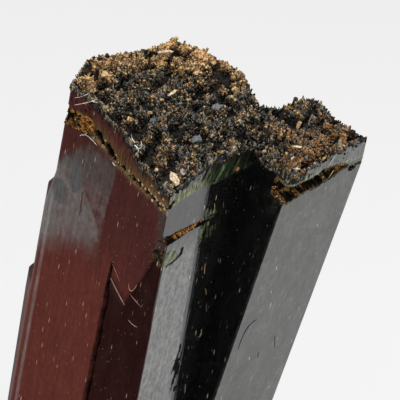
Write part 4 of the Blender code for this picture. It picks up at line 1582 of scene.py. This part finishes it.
def unit_shape(tree, shape):
    """A blunt cone or a ball, one unit high. It keeps its height as an attribute for the finish."""
    if shape == NEEDLE:
        inputs = {"Vertices": 5, "Radius Top": 0.24, "Radius Bottom": 0.5, "Depth": 1.0}
        unit = add_node(tree, "GeometryNodeMeshCone", inputs).outputs["Mesh"]
        sunk = {"Geometry": unit, "Translation": (0.0, 0.0, -NEEDLE_SINK)}
        unit = add_node(tree, "GeometryNodeTransform", sunk).outputs[0]
    else:
        unit = add_node(tree, "GeometryNodeMeshIcoSphere", {"Radius": 0.5, "Subdivisions": 1}).outputs["Mesh"]
    place = add_node(tree, "GeometryNodeInputPosition").outputs[0]
    height = add_node(tree, "ShaderNodeSeparateXYZ", {"Vector": place}).outputs["Z"]
    tip = {"Geometry": unit, "Name": "tip", "Value": maths(tree, "ADD", height, NEEDLE_SINK)}
    stored = add_node(tree, "GeometryNodeStoreNamedAttribute", tip, data_type="FLOAT", domain="POINT")
    return stored.outputs[0]


def growth_tree(name, shape):
    tree, given = tree_with_inputs(name)
    sunk = ground_value(tree, "sunk")
    cluster = add_node(tree, "ShaderNodeTexNoise", {"Scale": CLUSTER_SCALE, "Detail": 1.5})
    points = growth_points(tree, given, sunk)
    placed = add_node(tree, "GeometryNodeInstanceOnPoints", {
        "Points": points.outputs["Points"],
        "Instance": unit_shape(tree, shape),
        "Rotation": growth_rotation(tree, given, points, cluster),
        "Scale": growth_size(tree, given, cluster, sunk),
    })
    tone = {"Geometry": placed.outputs[0], "Name": "tone", "Value": random_number(tree, given, 0.0, 1.0, 8)}
    toned = add_node(tree, "GeometryNodeStoreNamedAttribute", tone, data_type="FLOAT", domain="INSTANCE")
    realized = add_node(tree, "GeometryNodeRealizeInstances", {"Geometry": toned.outputs[0]})
    wander = add_node(tree, "ShaderNodeTexNoise", {"Scale": WANDER_SCALE, "Detail": 1.0})
    crumpled = {"Geometry": realized.outputs[0], "Offset": noise_vector(tree, wander, given["Crumple"])}
    moved = add_node(tree, "GeometryNodeSetPosition", crumpled)
    finished = {"Geometry": moved.outputs[0], "Material": given["Finish"]}
    done = add_node(tree, "GeometryNodeSetMaterial", finished)
    tree.links.new(done.outputs[0], add_node(tree, "NodeGroupOutput").inputs[0])
    return tree


needle_tree = growth_tree("needle_growth", NEEDLE)
lump_tree = growth_tree("lump_growth", LUMP)
print("nodes in the needle tree:", len(needle_tree.nodes))

# %% Running a growth tree
BOX_MARGIN = 1e-5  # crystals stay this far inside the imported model's box, in metres


def grow(name, ground, tree, finish, seed, sizes):
    """Runs a growth tree on a ground, and keeps the result as a plain mesh. Sizes are in millimetres,
    shares are plain numbers, and the crowding is in points for each square millimetre."""
    sprout = link_object(name + "_growth", ground.data)
    modifier = sprout.modifiers.new("growth", "NODES")
    modifier.node_group = tree
    for item in tree.interface.items_tree:
        if item.in_out == "INPUT" and item.name in sizes:
            modifier[item.identifier] = sizes[item.name] * UNITS[item.name]
        elif item.name == "Seed":
            modifier[item.identifier] = seed
        elif item.name == "Finish":
            modifier[item.identifier] = finish
    grown = link_object(name, evaluated_mesh(sprout, name))
    bpy.data.objects.remove(sprout, do_unlink=True)
    low, high = np.array(cad_low) + BOX_MARGIN, np.array(cad_high) - BOX_MARGIN
    grown.data.vertices.foreach_set("co", np.clip(gathered(grown.data.vertices, "co", 3), low, high).ravel())
    grown.data.update()
    print(name, "has", sum(len(polygon.vertices) - 2 for polygon in grown.data.polygons), "triangles")
    return grown


print("margin in mm:", BOX_MARGIN / MM)

# %% [markdown]
# ## Finishes of the crust
# The tiny crystals are black or grey stone, and rust and clay colour many of them brown. Broad clouds
# and the ground's own rustiness decide which. What makes a crust look deep is that only its tips catch
# the light: so the foot of each crystal, the crevices and some whole patches are painted nearly black.

# %% Colour of the crust
NEAR_BLACK = (0.003, 0.003, 0.003)
# The crust turns to this black in painted shade, at the foot of a crystal and in a crevice, and in dark
# patches.
DEEP_BLACK = (0.002, 0.002, 0.002)
STONE_GREY = (0.270, 0.285, 0.295)
STONE_OLIVE = (0.280, 0.265, 0.170)
TAWNY = (0.36, 0.165, 0.062)


def crust_colour(tree, tone, darkest, stones, clays, clay_bias):
    """The colour in full light, and the share of clay in it."""
    other = maths(tree, "FRACT", product(tree, tone, 13.7))
    patchy = maths(tree, "SUBTRACT", cloud(tree, (1.7, 1.7, 1.2), 5.0, 0.8), 0.5)
    share = maths(tree, "ADD", attribute(tree, "ochre"), clay_bias)
    share = maths(tree, "ADD", share, product(tree, patchy, 3.0))
    share = remap(tree, maths(tree, "SUBTRACT", share, product(tree, tone, 0.3)), 0.04, 0.24)
    tint = remap(tree, cloud(tree, (1.1, 1.1, 1.1), 2.0), 0.42, 0.58)
    rock = blend(tree, maths(tree, "POWER", other, 1.8), darkest, blend(tree, tint, *stones))
    earth = blend(tree, remap(tree, cloud(tree, (5.0, 5.0, 3.0), 3.0), 0.38, 0.60), *clays)
    earth = blend(tree, product(tree, attribute(tree, "tawny"), 0.65), earth, TAWNY)
    return blend(tree, share, rock, earth), share


def crust_light(tree):
    """How much of the colour shows: little at the foot of a crystal and in a crevice, which is painted shade,
    and little in a dark patch.
    """
    ochre = attribute(tree, "ochre")
    lit = remap(tree, cloud(tree, (4.5, 4.5, 1.4), 4.0, 0.75), 0.41, 0.54, 0.04, 1.35)
    lit = maths(tree, "MAXIMUM", lit, product(tree, ochre, 1.2))
    above = remap(tree, attribute(tree, "tip"), 0.10, 0.55, 0.04, 1.1)
    above = maths(tree, "MAXIMUM", above, product(tree, ochre, 0.6))
    open_sky = remap(tree, attribute(tree, "sunk"), 0.05, 0.7, 1.0, 0.05)
    broad = remap(tree, cloud(tree, (0.9, 0.9, 0.9), 2.0, 0.6), 0.36, 0.56, 0.42, 1.25)
    return product(tree, lit, above, open_sky, broad)


print("stone runs from", NEAR_BLACK, "to", STONE_GREY)


# %% Finishes of crystals, clay and rust
def crust_finish(name, darkest, stones, clays, clay_bias, roughness):
    finish, tree, shader = new_finish(name)
    tone = attribute(tree, "tone")
    colour, share = crust_colour(tree, tone, darkest, stones, clays, clay_bias)
    tree.links.new(blend(tree, crust_light(tree), DEEP_BLACK, colour), shader.inputs["Base Color"])
    polish = remap(tree, tone, 0.0, 1.0, roughness - 0.16, roughness + 0.22)
    tree.links.new(maths(tree, "MAXIMUM", polish, product(tree, share, 0.9)), shader.inputs["Roughness"])
    shader.inputs["IOR"].default_value = 1.5
    shader.inputs["Specular IOR Level"].default_value = 0.32
    tree.links.new(bump(tree, cloud(tree, (9.0, 9.0, 9.0), 2.0), 0.05), shader.inputs["Normal"])
    return finish


needle_finish = crust_finish(
    "crust_crystals", NEAR_BLACK, stones=(STONE_GREY, STONE_OLIVE),
    clays=((0.37, 0.168, 0.045), (0.82, 0.59, 0.31)), clay_bias=0.0, roughness=0.45,
)
clay_finish = crust_finish(
    "rusty_clay", (0.03, 0.02, 0.012), stones=(STONE_GREY, STONE_OLIVE),
    clays=((0.40, 0.180, 0.045), (0.84, 0.61, 0.32)), clay_bias=0.45, roughness=0.8,
)
rust_finish = crust_finish(
    "seam_rust", (0.040, 0.024, 0.012), stones=((0.80, 0.58, 0.30), (0.52, 0.36, 0.15)),
    clays=((0.28, 0.110, 0.026), (0.85, 0.43, 0.11)), clay_bias=-0.2, roughness=0.85,
)
print("finishes:", needle_finish.name, clay_finish.name, rust_finish.name)

# %% [markdown]
# ## Growing the crust
# Six growths lie over each other: a fine grit that covers everything, taller needles in tufts, a few
# large blocks, soft clay in the rusty places, short needles that make the rim jagged, and grains of rust
# in the cracks and pits. The ground objects have done their work after that and are removed.

# %% Grow everything
GROWTHS = (  # name, ground, tree, finish, seed, sizes; a size that isn't named here is 0
    ("crust_grit", bed, needle_tree, needle_finish, 5, {
        "Spacing": 0.16, "Shortest": 0.25, "Longest": 0.62, "Thinnest": 0.19, "Thickest": 0.48,
        "Crumple": 0.22, "Uprightness": 1.0, "Lean": 0.8, "Gaps": 0.2,
        "Crevices": 0.6, "Crowding": 40.0,
    }),
    ("crust_needles", bed, needle_tree, needle_finish, 11, {
        "Spacing": 0.27, "Shortest": 0.6, "Longest": 1.02, "Thinnest": 0.2, "Thickest": 0.56,
        "Crumple": 0.30, "Uprightness": 1.9, "Lean": 0.6, "Gaps": 0.37,
        "Crevices": 1.1, "Clusters": 2.0, "Crowding": 32.0,
    }),
    ("crust_blocks", bed, needle_tree, needle_finish, 23, {
        "Spacing": 1.0, "Shortest": 0.8, "Longest": 1.3, "Thinnest": 0.45, "Thickest": 0.95,
        "Crumple": 0.3, "Uprightness": 1.3, "Lean": 0.5, "Gaps": 0.42,
        "Crevices": 1.1, "Clusters": 1.0, "Crowding": 20.0,
    }),
    ("crust_clay", bed, lump_tree, clay_finish, 37, {
        "Spacing": 0.24, "Shortest": 0.4, "Longest": 0.8, "Thinnest": 0.26, "Thickest": 0.66,
        "Crumple": 0.34, "Uprightness": 1.0, "Lean": 0.8, "Clay Only": 1.0, "Gaps": 0.3,
        "Crevices": 0.6, "Crowding": 18.0,
    }),
    ("rim_needles", rim_bed, needle_tree, needle_finish, 53, {
        "Spacing": 0.17, "Shortest": 0.25, "Longest": 0.62, "Thinnest": 0.18, "Thickest": 0.46,
        "Crumple": 0.28, "Uprightness": 2.4, "Lean": 0.5, "Gaps": 0.25,
        "Crowding": 45.0,
    }),
    ("seam_rust_grains", rust_bed, lump_tree, rust_finish, 41, {
        "Spacing": 0.13, "Shortest": 0.12, "Longest": 0.36, "Thinnest": 0.10, "Thickest": 0.28,
        "Crumple": 0.18, "Uprightness": 0.2, "Lean": 0.8, "Gaps": 0.36,
        "Crowding": 60.0,
    }),
)
crust = [grow(*growth) for growth in GROWTHS]
for ground in (bed, rust_bed, rim_bed):
    bpy.data.objects.remove(ground, do_unlink=True)
print("growths:", [piece.name for piece in crust])

# %% [markdown]
# ## Chips and fibres caught on the crystal
# Pale, grey and rusty chips are caught in the crust, and smaller crumbs along the left face's seam. Thin
# fibres of dust lie across the seam and the faces, and scratches are made the same way. A chip is a
# small flat lump with an uneven outline. A fibre is a five-sided tube along a curve through three
# places. Each lies at a place of its own, so a table of places says it best.

# %% Chips
CREAM, TAN, PALE = (0.74, 0.58, 0.40), (0.62, 0.40, 0.20), (0.95, 0.90, 0.82)
PINKISH, ORANGE = (0.36, 0.29, 0.28), (0.55, 0.22, 0.055)
GREY, DARK = (0.150, 0.155, 0.158), (0.02, 0.018, 0.016)
CHIPS = (  # start, end, width, thickness, colour
    ((-7.65, 2.45, 58.9), (-6.95, 2.95, 59.1), 0.85, 0.25, TAN),
    ((-2.6, 7.57, 59.35), (-0.8, 7.4, 60.2), 0.45, 0.2, CREAM),
    ((-0.57, 1.28, 58.97), (0.27, 2.71, 59.02), 0.42, 0.2, CREAM),
    ((0.0, -8.3, 56.3), (0.5, -8.45, 56.2), 0.6, 0.35, DARK),
    ((0.95, -8.45, 57.05), (2.55, -9.25, 56.2), 1.05, 0.3, CREAM),
    ((2.2, -7.4, 56.9), (2.75, -7.9, 56.5), 0.8, 0.3, PINKISH),
    ((-0.35, -8.0, 56.75), (0.05, -8.2, 56.6), 0.45, 0.3, TAN),
    ((12.65, -1.1, 57.6), (13.9, -0.95, 57.6), 0.30, 0.18, CREAM),
    ((12.45, -3.8, 56.95), (13.05, -2.9, 57.8), 0.20, 0.15, PALE),
    ((13.0, -5.1, 56.2), (13.65, -4.1, 57.5), 0.26, 0.15, PALE),
    ((13.2, -4.3, 57.3), (14.0, -4.2, 57.4), 0.20, 0.15, CREAM),
    ((12.85, 1.5, 57.9), (13.15, 2.0, 58.7), 0.5, 0.3, TAN),
    ((7.65, -3.75, 55.2), (7.9, -3.45, 55.5), 0.3, 0.25, ORANGE),
    ((2.6, -4.1, 57.9), (3.8, -3.2, 58.1), 0.9, 0.4, GREY),
    ((3.8, 0.1, 59.2), (5.0, 1.1, 59.3), 0.9, 0.4, GREY),
    ((-1.9, -2.7, 58.3), (-1.2, -2.3, 58.4), 0.6, 0.35, GREY),
    ((6.4, 2.4, 58.9), (7.1, 2.9, 58.9), 0.6, 0.35, GREY),
    ((1.5, 4.5, 59.9), (2.1, 5.0, 60.0), 0.45, 0.3, TAN),
)
CRUMBS = (  # distance along the left face, height, length, colour
    (8.2, -0.35, 0.25, TAN), (9.8, -0.35, 0.25, TAN), (11.3, -0.5, 0.3, TAN), (11.9, -0.6, 0.4, CREAM),
    (12.4, -0.8, 0.35, TAN), (12.9, -0.55, 0.4, TAN), (13.3, -0.8, 0.3, CREAM), (13.6, -1.5, 0.3, CREAM),
    (13.9, -0.75, 0.4, TAN), (14.2, -1.0, 0.35, CREAM), (14.7, -1.1, 0.35, TAN), (14.9, -1.75, 0.3, TAN),
    (15.1, -1.0, 0.4, CREAM), (15.4, -1.3, 0.3, TAN), (15.0, -0.3, 0.3, TAN), (14.3, 0.0, 0.3, CREAM),
    (13.2, 0.1, 0.25, TAN), (4.3, 0.1, 0.3, TAN), (5.9, 0.9, 0.3, TAN), (7.7, 0.25, 0.25, TAN),
)
print("chips:", len(CHIPS), "and crumbs:", len(CRUMBS))

# %% Shape of a chip
CHIP_SIDES = 7
CHIP_RINGS = ((-0.5, 0.8), (0.1, 1.0), (0.5, 0.72))  # each ring's height in the chip, and its width
CHIP_LIFT = 0.5  # how far the chips stand out of the ground, towards the front
CRUMB_LIFT = 0.85 * CHIP_LIFT
CRUMB_DIRECTION = np.array((0.75, -0.4, -0.55))
CRUMB_WIDTH = 0.7
CRUMB_THICKNESS = 0.2
TOWARDS_FRONT = np.array((0.0, -0.788, 0.616))
LYING = np.array((0.0, -0.42, 0.91))
chance = random.Random(19)


def chip(start, end, width, thickness):
    """The points and faces of one flat lump with an uneven outline. It lies from start to end."""
    start, end = np.array(start), np.array(end)
    middle = (start + end) / 2.0 + CHIP_LIFT * TOWARDS_FRONT
    long_half = (end - start) / 2.0
    across = np.cross(LYING, long_half)
    across = across / np.linalg.norm(across) * width / 2.0
    rings = []
    for level, reach in CHIP_RINGS:
        ring = []
        for i in range(CHIP_SIDES):
            turn = math.tau * i / CHIP_SIDES
            out = reach * chance.uniform(0.6, 1.25)
            lift = LYING * thickness * (level + chance.uniform(-0.12, 0.12))
            ring.append(middle + (long_half * math.cos(turn) + across * math.sin(turn)) * out + lift)
        rings.append(ring)
    points = [place for ring in rings for place in ring]
    points += [middle - LYING * thickness * 0.5, middle + LYING * thickness * 0.55]
    under, over = len(points) - 2, len(points) - 1
    faces = []
    for i in range(CHIP_SIDES):
        j = (i + 1) % CHIP_SIDES
        for low in (0, CHIP_SIDES):
            faces.append((low + i, low + j, low + CHIP_SIDES + j, low + CHIP_SIDES + i))
        faces.append((under, j, i))
        faces.append((over, 2 * CHIP_SIDES + i, 2 * CHIP_SIDES + j))
    return points, faces


def crumb(a, h, length):
    """A small lump that lies on the left face."""
    start = left_face.point(a, h) - CRUMB_LIFT * TOWARDS_FRONT
    return chip(start, start + length * CRUMB_DIRECTION, CRUMB_WIDTH * length, CRUMB_THICKNESS)


print("faces of one chip:", CHIP_SIDES * (len(CHIP_RINGS) + 1))


# %% Many small shapes as one object
def joined(name, shapes, colours, finish):
    """One object from many small shapes, with a colour for each in its paint attribute."""
    points, faces, paint = [], [], []
    for (shape_points, shape_faces), colour in zip(shapes, colours):
        faces += [tuple(i + len(points) for i in face) for face in shape_faces]
        points += shape_points
        paint += [(*colour, 1.0)] * len(shape_points)
    thing = mesh_object(name, points, faces)
    store(thing.data, "paint", "FLOAT_COLOR", paint)
    thing.data.materials.append(finish)
    bm = bmesh.new()
    bm.from_mesh(thing.data)
    bmesh.ops.recalc_face_normals(bm, faces=bm.faces)
    bm.to_mesh(thing.data)
    bm.free()
    print(name, "has", len(faces), "faces")
    return thing


def caught_finish(name, fineness, roughness):
    """An uneven, dull finish that takes its colour from the paint attribute."""
    finish, tree, shader = new_finish(name)
    shade = remap(tree, cloud(tree, (fineness, fineness, fineness), 4.0, 0.7), 0.36, 0.62, 0.45, 1.25)
    base = blend(tree, 1.0, attribute(tree, "paint", "Color"), shade, "MULTIPLY")
    tree.links.new(base, shader.inputs["Base Color"])
    shader.inputs["Roughness"].default_value = roughness
    shader.inputs["Specular IOR Level"].default_value = 0.3
    tree.links.new(bump(tree, cloud(tree, (6.0, 6.0, 6.0), 3.0), 0.04), shader.inputs["Normal"])
    return finish


chip_finish = caught_finish("chips", 4.0, 0.7)
lumps = [chip(*row[:4]) for row in CHIPS] + [crumb(*row[:3]) for row in CRUMBS]
chips = joined("caught_chips", lumps, [row[-1] for row in (*CHIPS, *CRUMBS)], chip_finish)

# %% Fibres
LEFT_FIBRES = (  # three places on the face, thickness, how far it stands off, colour
    ((0.88, 2.8), (2.25, 4.1), (3.1, 5.4), 0.06, 0.5, PALE),
    ((1.05, 2.01), (3.25, 4.0), (3.74, 4.8), 0.085, 0.3, PALE),
    ((3.3, 4.1), (3.5, 4.1), (4.0, 4.35), 0.08, 0.4, PALE),
    ((2.5, -1.0), (3.35, -0.35), (5.0, -0.5), 0.075, 0.15, PALE),
    ((2.7, -0.75), (3.1, -0.45), (3.3, -0.05), 0.09, 0.15, PALE),
    ((10.0, 3.0), (10.5, 2.9), (10.7, 2.6), 0.11, 0.4, PALE),
    ((10.5, 2.9), (10.95, 3.4), (10.76, 4.04), 0.075, 0.45, PALE),
    ((9.3, 3.9), (9.55, 3.5), (9.95, 3.3), 0.07, 0.45, PALE),
    ((7.5, -0.9), (7.8, -1.1), (8.1, -1.0), 0.08, 0.2, PALE),
    ((10.18, -14.32), (11.46, -15.26), (12.75, -16.07), 0.085, 0.15, (0.50, 0.38, 0.36)),
    ((12.73, -13.27), (13.27, -13.8), (13.88, -12.52), 0.065, 0.15, (0.62, 0.42, 0.30)),
    ((13.19, -14.28), (14.2, -14.55), (14.99, -14.7), 0.065, 0.15, (0.46, 0.22, 0.17)),
    ((10.07, -12.52), (10.8, -13.15), (11.45, -13.8), 0.06, 0.15, (0.46, 0.22, 0.17)),
    ((13.66, -17.42), (14.3, -17.55), (14.98, -17.4), 0.065, 0.15, (0.60, 0.40, 0.30)),
)
FRONT_FIBRES = (
    ((7.13, -11.23), (7.2, -12.0), (7.34, -12.71), 0.05, 0.1, TAN),
    ((7.94, -14.96), (8.15, -15.4), (8.26, -15.9), 0.05, 0.1, TAN),
    ((8.67, -17.28), (8.75, -17.9), (8.93, -18.51), 0.04, 0.1, PINKISH),
    ((8.69, -20.8), (8.75, -21.4), (8.6, -21.86), 0.05, 0.1, CREAM),
    ((7.91, -28.02), (8.0, -28.7), (8.08, -29.34), 0.06, 0.1, PINKISH),
    ((6.6, -3.0), (6.75, -3.5), (6.8, -4.1), 0.06, 0.1, TAN),
    ((8.0, -3.4), (8.1, -3.9), (8.2, -4.3), 0.06, 0.1, GREY),
)
TWIN_FIBRES = (
    ((5.6, 1.43), (6.0, 1.95), (6.45, 2.48), 0.06, 0.12, PALE),
    ((5.75, 1.54), (5.95, 1.95), (6.11, 2.36), 0.05, 0.12, PALE),
    ((6.48, 0.39), (6.3, 0.0), (6.04, -0.48), 0.08, 0.15, CREAM),
    ((2.95, -18.6), (1.80, -19.5), (1.65, -22.2), 0.07, 0.04, DARK),
    ((6.9, -22.6), (7.25, -23.6), (7.6, -24.7), 0.06, 0.04, DARK),
    ((5.2, -24.2), (5.3, -24.6), (5.35, -25.0), 0.06, 0.04, DARK),
)
print("fibres:", len(LEFT_FIBRES), len(FRONT_FIBRES), len(TWIN_FIBRES))

# %% Shape of a fibre
FIBRE_STEPS = 14
FIBRE_SIDES = 5


def fibre(face, first, second, third, thickness, off):
    """A tube through three places on a face. Its ends are closed and thinner."""
    stops = [face.point(a, min(h, 0.0)) + (0.0, 0.0, max(h, 0.0)) for a, h in (first, second, third)]
    stops = [stop + off * TOWARDS_FRONT for stop in stops]
    points, faces = [], []
    for step in range(FIBRE_STEPS):
        t = step / (FIBRE_STEPS - 1)
        shares = (2 * (t - 0.5) * (t - 1), 4 * t * (1 - t), 2 * t * (t - 0.5))
        middle = sum(share * stop for share, stop in zip(shares, stops))
        slope = sum(share * stop for share, stop in zip((4 * t - 3, 4 - 8 * t, 4 * t - 1), stops))
        side = np.cross(slope, face.out)
        side = side / np.linalg.norm(side)
        up = np.cross(side, slope)
        up = up / np.linalg.norm(up)
        fullness = math.sin(math.pi * (0.12 + 0.76 * t)) * chance.uniform(0.7, 1.0)
        radius = thickness / 2.0 * (0.35 + 0.85 * fullness)
        for i in range(FIBRE_SIDES):
            turn = math.tau * i / FIBRE_SIDES
            points.append(middle + (side * math.cos(turn) + up * math.sin(turn)) * radius)
    for start in range(0, FIBRE_SIDES * (FIBRE_STEPS - 1), FIBRE_SIDES):
        for i in range(FIBRE_SIDES):
            j = (i + 1) % FIBRE_SIDES
            faces.append((start + i, start + j, start + FIBRE_SIDES + j, start + FIBRE_SIDES + i))
    last = FIBRE_SIDES * (FIBRE_STEPS - 1)
    faces += [tuple(range(FIBRE_SIDES))[::-1], tuple(last + i for i in range(FIBRE_SIDES))]
    return points, faces


fibre_finish = caught_finish("fibres", 2.0, 0.5)
rows = [(left_face, *row) for row in LEFT_FIBRES]
rows += [(front_face, *row) for row in FRONT_FIBRES]
rows += [(twin_face, *row) for row in TWIN_FIBRES]
fibres = joined("caught_fibres", [fibre(*row[:-1]) for row in rows], [row[-1] for row in rows], fibre_finish)

# %% [markdown]
# ## Handing the pieces over
# The crystal has no moving part, so every piece rides on the root body, and the painted body takes the
# place of the imported solid. The imported model's box is printed at the start, and the grown crust is
# kept inside it.

# %% Hand the pieces over
pieces = [body, *crust, chips, fibres]
for piece in pieces:
    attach(piece, "root")
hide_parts("aegirine_crystal")
